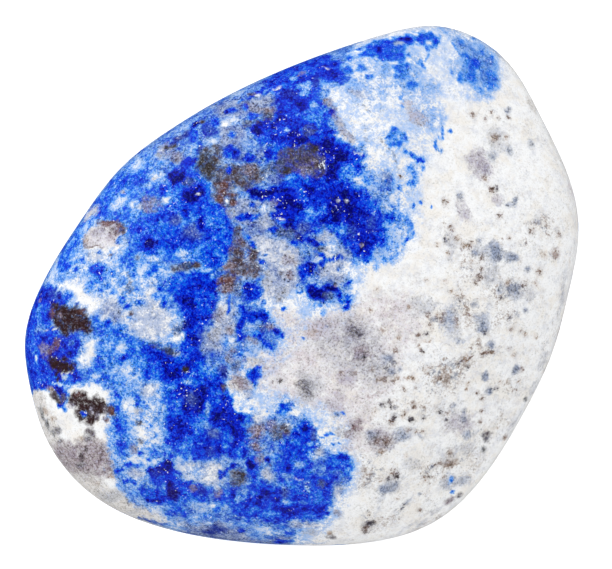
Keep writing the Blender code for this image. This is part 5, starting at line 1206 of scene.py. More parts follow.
def layBody(paint, kind, outline):
    corners = np.array(outline)
    border = minerals[kind].get("border", painting["bodyBorder"])
    near = pointsSeen(paint, corners, border)
    points = paint["picture"][near]
    far = np.full(len(near), 1e3)
    inside = np.zeros(len(near), bool)
    for start, end in zip(corners, np.roll(corners, -1, axis=0)):
        far = np.minimum(far, farFromLine(points, start, end))
        between = (start[1] > points[:, 1]) != (end[1] > points[:, 1])
        rise = end[1] - start[1] if end[1] != start[1] else 1.0
        crossing = start[0] + (points[:, 1] - start[1]) * (end[0] - start[0]) / rise
        inside ^= between & (points[:, 0] < crossing)
    weight = np.clip(0.5 + np.where(inside, far, -far) / border, 0, 1)
    layMineral(paint, minerals[kind], near, weight * (1 - paint["hidden"][near]))


def layVein(paint, kind, half, line):
    look = minerals[kind]
    corners = np.array(line)
    near = pointsSeen(paint, corners, half * (1 + look["edge"]) + 0.05)
    points = paint["picture"][near] - 0.5 * paint["push"][near, :2]
    far = np.min([farFromLine(points, start, end) for start, end in zip(corners, corners[1:])], axis=0)
    weight = np.clip((1 + look["edge"] - far / half) / (2 * look["edge"]), 0, 1)
    layMineral(paint, look, near, weight * (1 - paint["hidden"][near]))


def layPatch(paint, look, middle, sizes, turn, share=None):
    near = pointsNear(paint, middle, max(sizes) * (1 + look["edge"]) + 0.3)
    bend = min(max(sizes[:2]) / painting["warpFrom"], 1.0)
    offset = paint["places"][near] + paint["push"][near] * bend - middle
    c, s = math.cos(math.radians(turn)), math.sin(math.radians(turn))
    along = (offset[:, 0] * c + offset[:, 1] * s) / sizes[0]
    across = (offset[:, 1] * c - offset[:, 0] * s) / sizes[1]
    far = np.sqrt(along**2 + across**2 + (offset[:, 2] / sizes[2]) ** 2)
    weight = np.clip((1 + look["edge"] - far) / (2 * look["edge"]), 0, 1)
    layMineral(paint, look, near, weight if share is None else weight * share[near])


def topOf(target, x, y):
    # The place on the skin that the camera sees at (x, y) of the picture, or on the rim just inside it
    eye = Vector((view["middle"][0], view["middle"][1], view["girdle"] + cameraAway())) * 1000
    for share in painting["rimSteps"]:
        towards = Vector((x * share, y * share, view["girdle"] * 1000)) - eye
        hit = target.ray_cast(eye, towards.normalized())[0]
        if hit is not None:
            return np.array(hit)
    return np.array([x, y, 6.0])


def layTopPatch(paint, target, kind, x, y, half, otherHalf, turn=0.0):
    deep = painting["depthShare"] * max(half, otherHalf) + painting["depthLeast"]
    layPatch(paint, minerals[kind], topOf(target, x, y), (half, otherHalf, deep), turn)


def layHiddenPatches(paint, plan):
    places, hidden = paint["places"], paint["hidden"]
    slow, ragged = (strength * waves(places, *wave) for strength, *wave in plan["blueWaves"])
    border = places[:, 0] - plan["blueSide"] - plan["blueLean"] * places[:, 1] + slow
    corner = plan["cornerReach"] - np.linalg.norm(places - plan["whiteCorner"], axis=1)
    border = np.max([border, corner, plan["whiteFront"] - places[:, 1]], axis=0) + ragged
    blueShare = hidden * np.clip(0.5 - border / plan["blueFade"], 0, 1)
    paint["depth"] += 0.5 * blueShare
    paint["haze"] += 0.25 * blueShare
    chance = np.random.default_rng(plan["seed"])
    shown = np.flatnonzero(hidden > 0.2)
    for middle in places[chance.choice(shown, plan["count"])]:
        isBlue = paint["depth"][pointsNear(paint, middle, 0.4)].mean() > 0.25
        kind = chance.choice(plan["inBlue"] if isBlue else plan["inWhite"])
        size = plan["sizes"][0] + (plan["sizes"][1] - plan["sizes"][0]) * chance.random() ** plan["sparsest"]
        size *= 1.0 if isBlue else plan["whiteShare"]
        sizes = size * chance.uniform(0.5, 1.2, 3)
        layPatch(paint, minerals[kind], middle, sizes, chance.uniform(0, 180), hidden)


def paintMinerals(stone, target):
    mesh = stone.data
    count = len(mesh.vertices)
    places, normals = np.zeros(count * 3), np.zeros(count * 3)
    mesh.vertices.foreach_get("co", places)
    mesh.vertices.foreach_get("normal", normals)
    places, normals = places.reshape(-1, 3) * 1000, normals.reshape(-1, 3)
    paint = freshPaint(places, normals)
    layHiddenPatches(paint, hiddenPatches)
    for kind, outline in bodies:
        layBody(paint, kind, outline)
    for kind, half, line in veins:
        layVein(paint, kind, half, line)
    patches = shoulderPatches + upperPatches + middlePatches + lowerPatches + rightPatches
    for kind, *spots in patches:
        for spot in spots:
            layTopPatch(paint, target, kind, *spot)
    for kind, flecks in fleckGroups.items():
        for x, y, size in flecks:
            layTopPatch(paint, target, kind, x, y, *[size * painting["fleckSwell"]] * 2)

    # Loose flecks are thickest low on the right, and the upper right is the softest part
    flat = places[:, :2]
    flecks = looseFlecks["share"] + (flat - looseFlecks["from"]) @ looseFlecks["grows"]
    flecks = np.clip(flecks, *looseFlecks["limits"]) + looseFlecks["dusty"] * paint["dust"]
    flecks = np.minimum(flecks, looseFlecks["most"]) * (paint["depth"] < looseFlecks["bluest"])
    soft = np.clip((flat.sum(axis=1) - looseFlecks["softFrom"]) / looseFlecks["softOver"], 0, 1)
    paint.update(zip(("stainRed", "stainGreen", "stainBlue"), paint["stain"].T))
    paint.update(flecks=flecks, soft=soft, whole=np.ones(count))
    for layer, channels in paintLayers.items():
        storePaint(mesh, layer, *(paint[name] for name in channels))
    patchCount = sum(len(spots) for kind, *spots in patches)
    print("minerals:", len(bodies), "bodies,", len(veins), "veins and", patchCount, "patches painted")


def storePaint(mesh, name, *channels):
    layer = mesh.attributes.new(name, "FLOAT_COLOR", "POINT")
    layer.data.foreach_set("color", np.stack(channels, axis=1).astype(np.float32).ravel())


# Node building helpers, for the relief and for the surface


def feed(tree, node, inputs):
    # Links or sets each input, whichever its value is
    for name, value in inputs.items():
        if isinstance(value, bpy.types.NodeSocket):
            tree.links.new(value, node.inputs[name])
        else:
            node.inputs[name].default_value = value


def addNode(tree, kind, inputs=None, **settings):
    node = tree.nodes.new(kind)
    for name, value in settings.items():
        setattr(node, name, value)
    feed(tree, node, inputs or {})
    return node


def calc(tree, operation, first, second=0.0, third=0.0, clamp=False):
    inputs = {0: first, 1: second, 2: third}
    return addNode(tree, "ShaderNodeMath", inputs, operation=operation, use_clamp=clamp).outputs[0]


def times(tree, first, second):
    return calc(tree, "MULTIPLY", first, second)


def mix(tree, amount, first, second):
    return addNode(tree, "ShaderNodeMix", {0: amount, 2: first, 3: second}, data_type="FLOAT").outputs[0]


def vectorMath(tree, operation, inputs):
    return addNode(tree, "ShaderNodeVectorMath", inputs, operation=operation).outputs


def remap(tree, value, low, high, toLow=0.0, toHigh=1.0, smooth=True):
    node = addNode(tree, "ShaderNodeMapRange", {0: value, 1: low, 2: high, 3: toLow, 4: toHigh})
    node.interpolation_type = "SMOOTHSTEP" if smooth else "LINEAR"
    return node.outputs[0]


def blendColour(tree, amount, first, second, how="MIX"):
    inputs = {0: amount, 6: first, 7: second}
    return addNode(tree, "ShaderNodeMix", inputs, data_type="RGBA", blend_type=how).outputs[2]


def noise(tree, places, scale, detail=2.0, rough=0.5):
    inputs = {"Vector": places, "Scale": scale, "Detail": detail, "Roughness": rough}
    return addNode(tree, "ShaderNodeTexNoise", inputs).outputs[0]


def cloud(tree, places, name):
    # Clouds that swing to both sides of nothing do so evenly, the others come in softly
    scale, detail, rough, low, high, toLow, toHigh = clouds[name]
    level = noise(tree, places, scale, detail, rough)
    return remap(tree, level, low, high, toLow, toHigh, smooth=toLow >= 0)


def fade(tree, value, name):
    return remap(tree, value, *fades[name])


def slope(tree, value, name):
    return remap(tree, value, *slopes[name], smooth=False)


def shade(red, green, blue):
    return (*(float(v) * surface["lightShare"] for v in screen(red, green, blue)), 1.0)


def tint(name):
    return shade(*surface[name])


def colourRamp(tree, amount, stops):
    node = addNode(tree, "ShaderNodeValToRGB", {0: amount})
    ramp = node.color_ramp
    ramp.elements[0].position, ramp.elements[0].color = stops[0][0], shade(*stops[0][1])
    ramp.elements[1].position, ramp.elements[1].color = stops[-1][0], shade(*stops[-1][1])
    for position, colour in stops[1:-1]:
        ramp.elements.new(position).color = shade(*colour)
    return node.outputs[0]


def newGroup(name, ins, outs):
    group = bpy.data.node_groups.new(name, "ShaderNodeTree")
    for socket, kind, value in ins:
        made = group.interface.new_socket(name=socket, in_out="INPUT", socket_type=kind)
        if value is not None:
            made.default_value = value
    for socket, kind in outs:
        group.interface.new_socket(name=socket, in_out="OUTPUT", socket_type=kind)
    entry = addNode(group, "NodeGroupInput")
    leave = addNode(group, "NodeGroupOutput")
    return group, entry.outputs, leave.inputs


def useGroup(tree, group, inputs):
    node = addNode(tree, "ShaderNodeGroup", node_tree=group)
    feed(tree, node, inputs)
    return node.outputs


# The surface, from the white marble up through its flecks, the blue and the brown minerals

surface = {
    "lightShare": 0.84,  # screen colours are taken this much darker, as the light is this much over white
    "vividBlues": [
        (0.0, (226, 233, 246)), (0.12, (184, 208, 246)), (0.24, (128, 180, 248)), (0.36, (60, 146, 244)),
        (0.48, (8, 108, 232)), (0.6, (0, 74, 230)), (0.72, (0, 42, 218)), (0.84, (0, 14, 176)),
        (1.0, (0, 4, 106)),
    ],
    "dullBlues": [
        (0.0, (224, 226, 234)), (0.14, (192, 199, 218)), (0.28, (152, 164, 198)), (0.42, (112, 126, 176)),
        (0.56, (78, 92, 156)), (0.7, (46, 64, 144)), (0.84, (16, 32, 130)), (1.0, (4, 6, 74)),
    ],
    "violetBlack": (34, 6, 104),
    "violetShare": 0.5,
    "crystal": (206, 218, 248),
    "blueCrystal": (96, 146, 252),
    "veil": (176, 194, 232),
    "marble": (253, 254, 255),
    "marbleGrey": (218, 221, 230),
    "marbleCream": (248, 245, 240),
    "smudgeGrey": (182, 188, 204),
    "smudgeBeige": (204, 192, 180),
    "marbleDirt": (190, 180, 172),
    "looseBrown": (150, 122, 100),
    "looseSlate": (140, 150, 172),
    "looseSpecks": [(8.5, 0.5), (5.5, 0.7)],  # specks per millimetre and how strongly they show
    "stainSpecks": 6.5,
    "speckNoise": (4.0, 0.8),  # detail and roughness
    "speckGather": 0.4,  # how much more likely specks are where the amount is full
    "wobble": (4.0, 2.0, 0.2),  # waves per millimetre, detail and how far everything is bent by it
    "grain": (1.1, 4.0, 1.0),  # waves per millimetre, detail and roughness
    "grainSwing": 2.1,  # how far that moves the depth of the blue
    "softCalm": -0.5,  # less grain where the picture is soft
    "hazeCalm": -0.4,  # and where the blue is milky
    "mosaicScale": 5.0,
    "mosaicShare": 0.8,  # the rest of it is soft noise
    "softScale": 0.8,  # of the mosaic's own scale
    "softNoise": (3.0, 0.6),  # detail and roughness
    "mosaicSwing": 0.08,
    "veilNoise": (2.3, 4.0, 0.9),
    "hazeVeil": 0.08,
    "smokeUnder": 0.35,  # how much smoke there is between crisp specks
    "mosaicTone": 0.15,
    "darkestTone": 0.3,
    "fineGrain": 0.55,
    "fineOnLoose": 0.5,
    "fineInHaze": (0.6, 0.9),  # how much it grows with haze, and without any
    "crystalFrom": 0.15,
    "gapDepth": 1.3,
    "gapBlue": -0.5,  # gaps in the blue darken its own channel this much less
    # The painted highlights: small bluish-white specks that stand in for light caught by crystal facets
    "crowdNoise": (1.3, 2.0, 0.6),
    "crowdShare": 0.5,
    "highlightNoise": (8.0, 1.0, 0.6),
    "moreHighlights": 0.06,
    "sparkleShare": 0.85,
    "sparkleWhite": (232, 240, 254),
    "roughBlue": 0.22,
    "roughWhite": 0.3,
    "roughStain": 0.42,
    "roughGrain": 0.03,
    "bumpGrain": 0.4,
    "bumpStain": 1.5,
    "bumpHeight": 0.00002,
    "bumpStrength": 0.6,
    "specular": 0.4,
}


# Clouds of noise: waves per millimetre, detail, roughness, the two levels that they come in between, and
# the values that they go from and to
clouds = {
    "cream": (0.8, 4.0, 0.7, 0.46, 0.62, 0.0, 1.0),
    "grey": (1.3, 5.0, 0.8, 0.47, 0.68, 0.0, 0.6),
    "smudgeGrey": (1.7, 5.0, 0.8, 0.53, 0.74, 0.0, 0.9),
    "smudgeBeige": (2.1, 5.0, 0.8, 0.53, 0.74, 0.0, 0.7),
    "cluster": (0.55, 4.0, 0.65, 0.42, 0.66, 0.2, 0.78),
    "dirt": (2.4, 3.0, 0.8, 0.45, 0.72, 0.0, 0.8),
    "slateTint": (1.6, 1.0, 0.5, 0.46, 0.6, 0.0, 1.0),
    "dullness": (1.7, 4.0, 0.9, 0.25, 0.75, -0.1, 0.1),
    "mottle": (3.6, 4.0, 0.85, 0.33, 0.67, -0.5, 0.5),
    "fine": (9.5, 1.0, 0.9, 0.25, 0.75, -1.0, 1.0),
    "patchy": (1.9, 2.0, 0.7, 0.35, 0.65, 0.5, 1.4),
}

# What comes in between two values of something else, and the values that it goes from and to
fades = {
    "speckMask": (0.74, 0.82),
    "grainByDepth": (0.02, 0.22),
    "palestGrain": (0.45, 0.9, 0.4, 0.8),
    "veil": (0.55, 0.8),
    "veilByDepth": (0.3, 0.7, 0.34, 0.015),
    "blueMask": (0.03, 0.12),
    "stainThere": (0.03, 0.3),
    "fineOnStain": (0.05, 0.5, 0.45, 0.04),
    "crushedOnBlue": (0.05, 0.5, 0.3, 1.0),
    "crushedOnStain": (0.01, 0.12, 0.3, 1.1),
    "crystalByDepth": (0.35, 0.85, 1.0, 0.3),
    "inBlue": (0.35, 0.7),
    "highlightLevel": (1.0, 1.08),
    "highlightsThere": (0.0, 0.2),
    "skyFoot": (-0.05, 0.3, 0.1, 1.0),
}

# The same for what comes in evenly
slopes = {
    "cell": (0.0, 1.0, -1.0, 1.0),
    "soft": (0.25, 0.75, -1.0, 1.0),
    "speckHeart": (0.76, 0.96),
    "looseTone": (0.0, 0.6, 1.3, 0.4),
    "stainTone": (0.0, 1.0, 1.5, 0.6),
}


def grainGroup():
    # A mosaic of crystal grains: each cell has its own value, broken up by softer noise
    group, given, made = newGroup(
        "crystalGrains",
        [("Places", "NodeSocketVector", None), ("Scale", "NodeSocketFloat", 4.0),
         ("Mosaic", "NodeSocketFloat", 0.5)],
        [("Value", "NodeSocketFloat")],
    )
    cells = addNode(group, "ShaderNodeTexVoronoi", {"Vector": given["Places"], "Scale": given["Scale"]})
    cells.inputs["Randomness"].default_value = 1.0
    cell = addNode(group, "ShaderNodeSeparateColor", {0: cells.outputs["Color"]}).outputs[0]
    scale = times(group, given["Scale"], surface["softScale"])
    soft = noise(group, given["Places"], scale, *surface["softNoise"])
    value = mix(group, given["Mosaic"], slope(group, soft, "soft"), slope(group, cell, "cell"))
    group.links.new(value, made["Value"])
    return group


def fleckGroup():
    # Ragged specks that gather where an amount is painted: a mask, and how deep in a speck a place is
    group, given, made = newGroup(
        "raggedSpecks",
        [("Places", "NodeSocketVector", None), ("Amount", "NodeSocketFloat", 0.0),
         ("Scale", "NodeSocketFloat", 7.0)],
        [("Mask", "NodeSocketFloat"), ("Heart", "NodeSocketFloat")],
    )
    dust = noise(group, given["Places"], given["Scale"], *surface["speckNoise"])
    level = calc(group, "MULTIPLY_ADD", given["Amount"], surface["speckGather"], dust)
    group.links.new(fade(group, level, "speckMask"), made["Mask"])
    group.links.new(slope(group, level, "speckHeart"), made["Heart"])
    return group


def marbleColour(tree, places, specks, flecks):
    # White calcite: cream and grey clouds, smudges, and loose brown and slate flecks with dirt round them
    colour = blendColour(tree, cloud(tree, places, "cream"), tint("marble"), tint("marbleCream"))
    colour = blendColour(tree, cloud(tree, places, "grey"), colour, tint("marbleGrey"))
    for name in ("smudgeGrey", "smudgeBeige"):
        colour = blendColour(tree, times(tree, cloud(tree, places, name), flecks), colour, tint(name))

    amount = times(tree, cloud(tree, places, "cluster"), flecks)
    dirt = times(tree, amount, cloud(tree, places, "dirt"))
    colour = blendColour(tree, dirt, colour, tint("marbleDirt"))
    tinted = blendColour(tree, cloud(tree, places, "slateTint"), tint("looseBrown"), tint("looseSlate"))
    for scale, share in surface["looseSpecks"]:
        mask, heart = useGroup(tree, specks, {"Places": places, "Amount": amount, "Scale": scale})[:2]
        looseColour = blendColour(tree, 1.0, tinted, slope(tree, heart, "looseTone"), "MULTIPLY")
        colour = blendColour(tree, times(tree, mask, share), colour, looseColour)
    return colour


def readPaint(tree):
    # What is painted on the skin, by the name of each channel
    painted = {}
    for layer, channels in paintLayers.items():
        source = addNode(tree, "ShaderNodeAttribute", attribute_name=layer).outputs
        split = addNode(tree, "ShaderNodeSeparateColor", {0: source["Color"]}).outputs
        painted[layer] = source["Color"]
        painted.update(zip(channels, (*split[:3], source["Alpha"])))
    return painted


def bentPlaces(tree):
    # Places on the stone in millimetres, as they are and bent a little
    scale, detail, strength = surface["wobble"]
    places = addNode(tree, "ShaderNodeTexCoord").outputs["Object"]
    places = vectorMath(tree, "SCALE", {0: places, "Scale": 1000.0})[0]
    wobble = addNode(tree, "ShaderNodeTexNoise", {"Vector": places, "Scale": scale, "Detail": detail})
    wobble = vectorMath(tree, "SUBTRACT", {0: wobble.outputs["Color"], 1: (0.5, 0.5, 0.5)})[0]
    wobble = vectorMath(tree, "SCALE", {0: wobble, "Scale": strength})[0]
    return places, vectorMath(tree, "ADD", {0: places, 1: wobble})[0]


def blueColour(tree, bent, painted, mosaic):
    # Grain at every size from a millimetre down moves the painted depth, and fades out where there is no blue
    depth, haze = painted["depth"], painted["haze"]
    grain = calc(tree, "SUBTRACT", noise(tree, bent, *surface["grain"]), 0.5)
    grain = times(tree, grain, surface["grainSwing"])
    grain = calc(tree, "MULTIPLY_ADD", mosaic, surface["mosaicSwing"], grain)
    grain = times(tree, grain, fade(tree, depth, "grainByDepth"))
    grain = times(tree, grain, calc(tree, "MULTIPLY_ADD", painted["soft"], surface["softCalm"], 1.0))
    grain = times(tree, grain, calc(tree, "MULTIPLY_ADD", haze, surface["hazeCalm"], 1.0))
    palest = times(tree, depth, fade(tree, depth, "palestGrain"))
    bluer = calc(tree, "MAXIMUM", calc(tree, "ADD", depth, grain), palest)

    vivid = colourRamp(tree, bluer, surface["vividBlues"])
    dull = colourRamp(tree, bluer, surface["dullBlues"])
    dulled = calc(tree, "ADD", cloud(tree, bent, "dullness"), haze, clamp=True)
    blue = blendColour(tree, dulled, vivid, dull)
    violet = times(tree, painted["violet"], surface["violetShare"])
    blue = blendColour(tree, violet, blue, tint("violetBlack"))

    # A whitish veil of crushed crystal drifts over the blue
    veil = calc(tree, "MULTIPLY_ADD", haze, surface["hazeVeil"], noise(tree, bent, *surface["veilNoise"]))
    veil = times(tree, fade(tree, veil, "veil"), fade(tree, bluer, "veilByDepth"))
    return bluer, blendColour(tree, veil, blue, tint("veil"))


def stainColour(tree, places, bent, painted, specks, mosaic, fine):
    # Brown, grey and dark minerals: smoky, or broken into specks where they are crisp
    amount, crisp = painted["cover"], painted["crisp"]
    smoky = calc(tree, "ADD", amount, cloud(tree, bent, "mottle"), clamp=True)
    smoky = times(tree, smoky, fade(tree, amount, "stainThere"))
    inputs = {"Places": places, "Amount": amount, "Scale": surface["stainSpecks"]}
    sharp, heart = useGroup(tree, specks, inputs)[:2]
    mask = mix(tree, crisp, smoky, sharp)
    mask = calc(tree, "MAXIMUM", mask, times(tree, smoky, surface["smokeUnder"]))
    tone = mix(tree, crisp, 1.0, slope(tree, heart, "stainTone"))
    tone = calc(tree, "MULTIPLY_ADD", mosaic, surface["mosaicTone"], tone)
    tone = calc(tree, "MULTIPLY_ADD", fine, fade(tree, painted["stainGreen"], "fineOnStain"), tone)
    tone = times(tree, calc(tree, "MAXIMUM", tone, surface["darkestTone"]), surface["lightShare"])
    return mask, blendColour(tree, 1.0, painted["stain"], tone, "MULTIPLY")


def crush(tree, bent, painted, colour, bluer, mask, fine):
    # The finest grain: crushed white crystal and the dark gaps between, faint over the clean marble
    strong = calc(tree, "MAXIMUM", fade(tree, bluer, "crushedOnBlue"),
                  times(tree, painted["flecks"], surface["fineOnLoose"]))
    strong = times(tree, strong, cloud(tree, bent, "patchy"))
    strong = times(tree, strong, calc(tree, "SUBTRACT", 1.0, mask))
    onStain = fade(tree, painted["stainGreen"], "crushedOnStain")
    strong = calc(tree, "MULTIPLY_ADD", mask, onStain, strong)
    strong = times(tree, strong, calc(tree, "MULTIPLY_ADD", painted["haze"], *surface["fineInHaze"]))
    strong = times(tree, strong, surface["fineGrain"])

    inBlue = calc(tree, "SUBTRACT", fade(tree, bluer, "inBlue"), mask, clamp=True)
    crystal = blendColour(tree, inBlue, tint("crystal"), tint("blueCrystal"))
    lit = calc(tree, "MAXIMUM", calc(tree, "SUBTRACT", fine, surface["crystalFrom"]), 0.0)
    lit = times(tree, times(tree, lit, strong), fade(tree, bluer, "crystalByDepth"))
    colour = blendColour(tree, lit, colour, crystal)

    gap = times(tree, calc(tree, "MINIMUM", fine, 0.0), surface["gapDepth"])
    gap = times(tree, gap, strong)
    darker = calc(tree, "ADD", gap, 1.0)
    ownShare = calc(tree, "MULTIPLY_ADD", inBlue, surface["gapBlue"], 1.0)
    channels = {0: darker, 1: darker, 2: calc(tree, "MULTIPLY_ADD", gap, ownShare, 1.0)}
    darker = addNode(tree, "ShaderNodeCombineColor", channels).outputs[0]
    return blendColour(tree, 1.0, colour, darker, "MULTIPLY")


def sparkleOver(tree, bent, painted, colour):
    # Painted highlights: bluish-white specks where crystal facets would catch the light, in small crowds
    highlightLevel = noise(tree, bent, *surface["highlightNoise"])
    crowd = noise(tree, bent, *surface["crowdNoise"])
    highlightLevel = calc(tree, "MULTIPLY_ADD", crowd, surface["crowdShare"], highlightLevel)
    highlightLevel = calc(tree, "MULTIPLY_ADD", painted["sparkle"], surface["moreHighlights"], highlightLevel)
    highlightLevel = times(tree, fade(tree, highlightLevel, "highlightLevel"), fade(tree, painted["sparkle"], "highlightsThere"))
    return blendColour(tree, times(tree, highlightLevel, surface["sparkleShare"]), colour, tint("sparkleWhite"))


def polish(tree, shader, blueMask, mask, mosaic, fine):
    # The blue is glossiest, the stains are duller and lie a little deeper
    roughness = remap(tree, blueMask, 0.0, 1.0, surface["roughWhite"], surface["roughBlue"], smooth=False)
    duller = surface["roughStain"] - surface["roughWhite"]
    roughness = calc(tree, "MULTIPLY_ADD", mask, duller, roughness)
    roughness = calc(tree, "MULTIPLY_ADD", fine, surface["roughGrain"], roughness)
    tree.links.new(roughness, shader.inputs["Roughness"])

    grain = times(tree, calc(tree, "ADD", mosaic, fine), surface["bumpGrain"])
    height = calc(tree, "SUBTRACT", grain, times(tree, mask, surface["bumpStain"]))
    inputs = {"Height": height, "Distance": surface["bumpHeight"], "Strength": surface["bumpStrength"]}
    tree.links.new(addNode(tree, "ShaderNodeBump", inputs).outputs[0], shader.inputs["Normal"])
    shader.inputs["Specular IOR Level"].default_value = surface["specular"]


def lapisMaterial():
    material = bpy.data.materials.new("lapisSkin")
    material.use_nodes = True
    tree = material.node_tree
    shader = tree.nodes["Principled BSDF"]
    specks = fleckGroup()
    places, bent = bentPlaces(tree)
    painted = readPaint(tree)
    inputs = {"Places": bent, "Scale": surface["mosaicScale"], "Mosaic": surface["mosaicShare"]}
    mosaic = useGroup(tree, grainGroup(), inputs)[0]
    fine = cloud(tree, places, "fine")

    bluer, blue = blueColour(tree, bent, painted, mosaic)
    blueMask = fade(tree, bluer, "blueMask")
    colour = blendColour(tree, blueMask, marbleColour(tree, bent, specks, painted["flecks"]), blue)
    mask, stain = stainColour(tree, places, bent, painted, specks, mosaic, fine)
    colour = blendColour(tree, mask, colour, stain)
    colour = crush(tree, bent, painted, colour, bluer, mask, fine)
    colour = sparkleOver(tree, bent, painted, colour)
    tree.links.new(colour, shader.inputs["Base Color"])
    polish(tree, shader, blueMask, mask, mosaic, fine)
    return material


# Fine relief that follows the skin: slow ripples from tumbling and shallow pits over the soft minerals

relief = {
    "Ripple Height": 0.018,
    "Ripples per mm": 0.28,
    "Grain Height": 0.003,
    "Grains per mm": 3.0,
    "Pit Depth": 0.02,
    "Foot Height": 0.5,  # the relief fades out below this, so that the resting spot stays flat
    "Seed": 5,
}
pitsFrom = (0.5, 1.0)  # the cover of a stain at which its pits start, and at which they are deepest


def reliefTree(material):
    tree = bpy.data.node_groups.new("tumbledRelief", "GeometryNodeTree")
    tree.is_modifier = True
    tree.interface.new_socket(name="Geometry", in_out="INPUT", socket_type="NodeSocketGeometry")
    for name, value in relief.items():
        kind = "NodeSocketInt" if name == "Seed" else "NodeSocketFloat"
        tree.interface.new_socket(name=name, in_out="INPUT", socket_type=kind).default_value = value
    tree.interface.new_socket(name="Geometry", in_out="OUTPUT", socket_type="NodeSocketGeometry")
    given = addNode(tree, "NodeGroupInput").outputs
    leave = addNode(tree, "NodeGroupOutput")

    places = addNode(tree, "GeometryNodeInputPosition").outputs[0]
    places = vectorMath(tree, "SCALE", {0: places, "Scale": 1000.0})[0]
    normal = addNode(tree, "GeometryNodeInputNormal").outputs[0]

    def field(scale, detail):
        node = addNode(tree, "ShaderNodeTexNoise", {"Vector": places, "W": given["Seed"], "Scale": scale},
                       noise_dimensions="4D")
        node.inputs["Detail"].default_value = detail
        return calc(tree, "SUBTRACT", node.outputs[0], 0.5)

    ripple = times(tree, field(given["Ripples per mm"], 1.0), given["Ripple Height"])
    grain = times(tree, field(given["Grains per mm"], 2.0), given["Grain Height"])
    stain = addNode(tree, "GeometryNodeInputNamedAttribute", {"Name": "stain"}, data_type="FLOAT_COLOR")
    cover = addNode(tree, "FunctionNodeSeparateColor", {0: stain.outputs[0]}).outputs[3]
    pit = times(tree, remap(tree, cover, *pitsFrom), given["Pit Depth"])
    height = calc(tree, "SUBTRACT", calc(tree, "ADD", ripple, grain), pit)
    lift = addNode(tree, "ShaderNodeSeparateXYZ", {0: places}).outputs[2]
    height = times(tree, height, remap(tree, lift, 0.05, given["Foot Height"]))
    offset = vectorMath(tree, "SCALE", {0: normal, "Scale": times(tree, height, 0.001)})[0]
    moved = addNode(tree, "GeometryNodeSetPosition", {"Geometry": given["Geometry"], "Offset": offset})
    real = addNode(tree, "GeometryNodeRealizeInstances", {0: moved.outputs[0]})
    finished = addNode(tree, "GeometryNodeSetMaterial", {"Geometry": real.outputs[0], "Material": material})
    tree.links.new(finished.outputs[0], leave.inputs[0])
    return tree


def carveRelief(stone, material):
    tree = reliefTree(material)
    worn = stone.modifiers.new("tumbledRelief", "NODES")
    worn.node_group = tree
    for item in tree.interface.items_tree:
        if item.item_type == "SOCKET" and item.in_out == "INPUT" and item.name in relief:
            worn[item.identifier] = relief[item.name]
    graph = bpy.context.evaluated_depsgraph_get()
    carved = bpy.data.meshes.new_from_object(stone.evaluated_get(graph))
    stone.modifiers.clear()
    stone.data = carved
    if not carved.materials:
        carved.materials.append(material)
    print("relief carved:", len(carved.vertices), "points")


# Floor, light and camera

studio = {
    "floorHalf": 6.0,
    "floorColour": 0.88,
    "floorRoughness": 0.9,
    "floorSpecular": 0.1,
    "floorGlow": 0.4,  # the floor is a lit table, so its shadows stay pale
    "ringBright": 1.3,  # brightness of the sky from the horizon up to the ring's top
    "ringTop": (0.6, 0.9),  # how high, as the sine of the height, the sky fades from bright to dim
    "zenith": 0.08,
    "ringLean": (-0.16, 0.14),  # the ring is brighter towards the upper left
    "mirrored": 0.12,  # how much of the sky shows in the polish
    "backdrop": 0.95,  # how pale the camera sees the sky behind the floor
    "keyPower": 1.7,
    "keyPlace": (-0.32, 0.26, 0.42),
    "keySize": 0.3,
    "lampsLookAt": (0, 0, 0.005),
    "fillPower": 0.9,
    "fillPlace": (0.36, -0.2, 0.36),
}


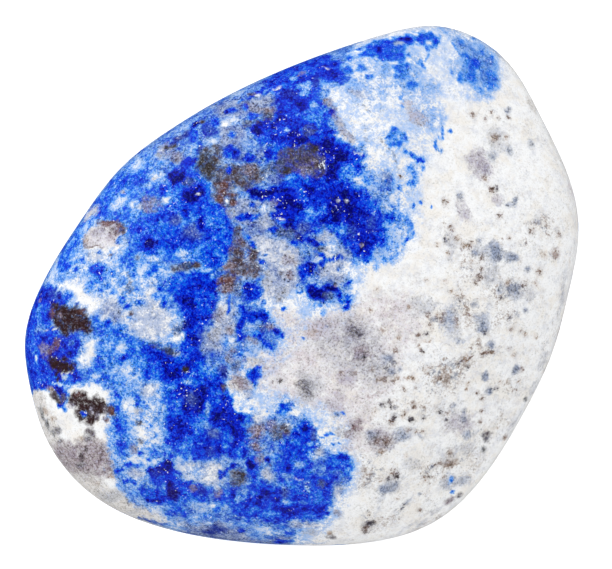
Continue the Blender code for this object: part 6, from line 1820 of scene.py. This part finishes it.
def buildStudio():
    scene = bpy.context.scene
    scene.view_settings.view_transform = "Standard"
    floorMesh = bpy.data.meshes.new("floor")
    half = studio["floorHalf"]
    corners = [(-half, -half, 0), (half, -half, 0), (half, half, 0), (-half, half, 0)]
    floorMesh.from_pydata(corners, [], [(0, 1, 2, 3)])
    floor = bpy.data.objects.new("floor", floorMesh)
    scene.collection.objects.link(floor)
    floorMaterial = bpy.data.materials.new("paleFloor")
    floorMaterial.use_nodes = True
    floorShader = floorMaterial.node_tree.nodes["Principled BSDF"]
    floorShader.inputs["Base Color"].default_value = (studio["floorColour"],) * 3 + (1.0,)
    floorShader.inputs["Roughness"].default_value = studio["floorRoughness"]
    floorShader.inputs["Emission Color"].default_value = (1, 1, 1, 1)
    floorShader.inputs["Emission Strength"].default_value = studio["floorGlow"]
    floorShader.inputs["Specular IOR Level"].default_value = studio["floorSpecular"]
    floorMesh.materials.append(floorMaterial)
    floor.visible_glossy = False

    sky = bpy.data.worlds.new("studioSky")
    scene.world = sky
    sky.use_nodes = True
    tree = sky.node_tree
    direction = addNode(tree, "ShaderNodeTexCoord").outputs["Generated"]
    rise = addNode(tree, "ShaderNodeSeparateXYZ", {0: direction}).outputs[2]
    lean = vectorMath(tree, "DOT_PRODUCT", {0: direction, 1: (*studio["ringLean"], 0)})["Value"]
    bright = remap(tree, rise, *studio["ringTop"], studio["ringBright"], studio["zenith"])
    bright = times(tree, bright, calc(tree, "ADD", lean, 1.0))
    bright = times(tree, bright, fade(tree, rise, "skyFoot"))
    seen = addNode(tree, "ShaderNodeLightPath").outputs
    mirrored = remap(tree, seen["Is Glossy Ray"], 0.0, 1.0, 1.0, studio["mirrored"], smooth=False)
    bright = times(tree, bright, mirrored)
    bright = calc(tree, "MAXIMUM", bright, times(tree, seen["Is Camera Ray"], studio["backdrop"]))
    backdrop = tree.nodes["Background"]
    tree.links.new(bright, backdrop.inputs["Strength"])
    backdrop.inputs["Color"].default_value = (1, 1, 1, 1)

    for name, power, place in (("key", studio["keyPower"], studio["keyPlace"]),
                               ("fill", studio["fillPower"], studio["fillPlace"])):
        lamp = bpy.data.lights.new(name, "AREA")
        lamp.energy = power
        lamp.size = studio["keySize"]
        light = bpy.data.objects.new(name, lamp)
        light.visible_glossy = False
        light.location = place
        ray = Vector(studio["lampsLookAt"]) - Vector(place)
        light.rotation_euler = ray.to_track_quat("-Z", "Y").to_euler()
        scene.collection.objects.link(light)


def buildCamera():
    lens = bpy.data.cameras.new("camera")
    lens.lens = view["lens"]
    lens.sensor_width = view["sensor"]
    lens.clip_start = 0.01
    lens.clip_end = 50.0
    camera = bpy.data.objects.new("camera", lens)
    camera.location = (*view["middle"], view["girdle"] + cameraAway())
    camera.rotation_euler = (0, 0, 0)
    bpy.context.scene.collection.objects.link(camera)
    bpy.context.scene.camera = camera


buildCamera()
buildStudio()
stone, target = buildSkin(skin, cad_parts["lapis_stone"])
paintMinerals(stone, target)
carveRelief(stone, lapisMaterial())
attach(stone, "root")
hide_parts("lapis_stone")
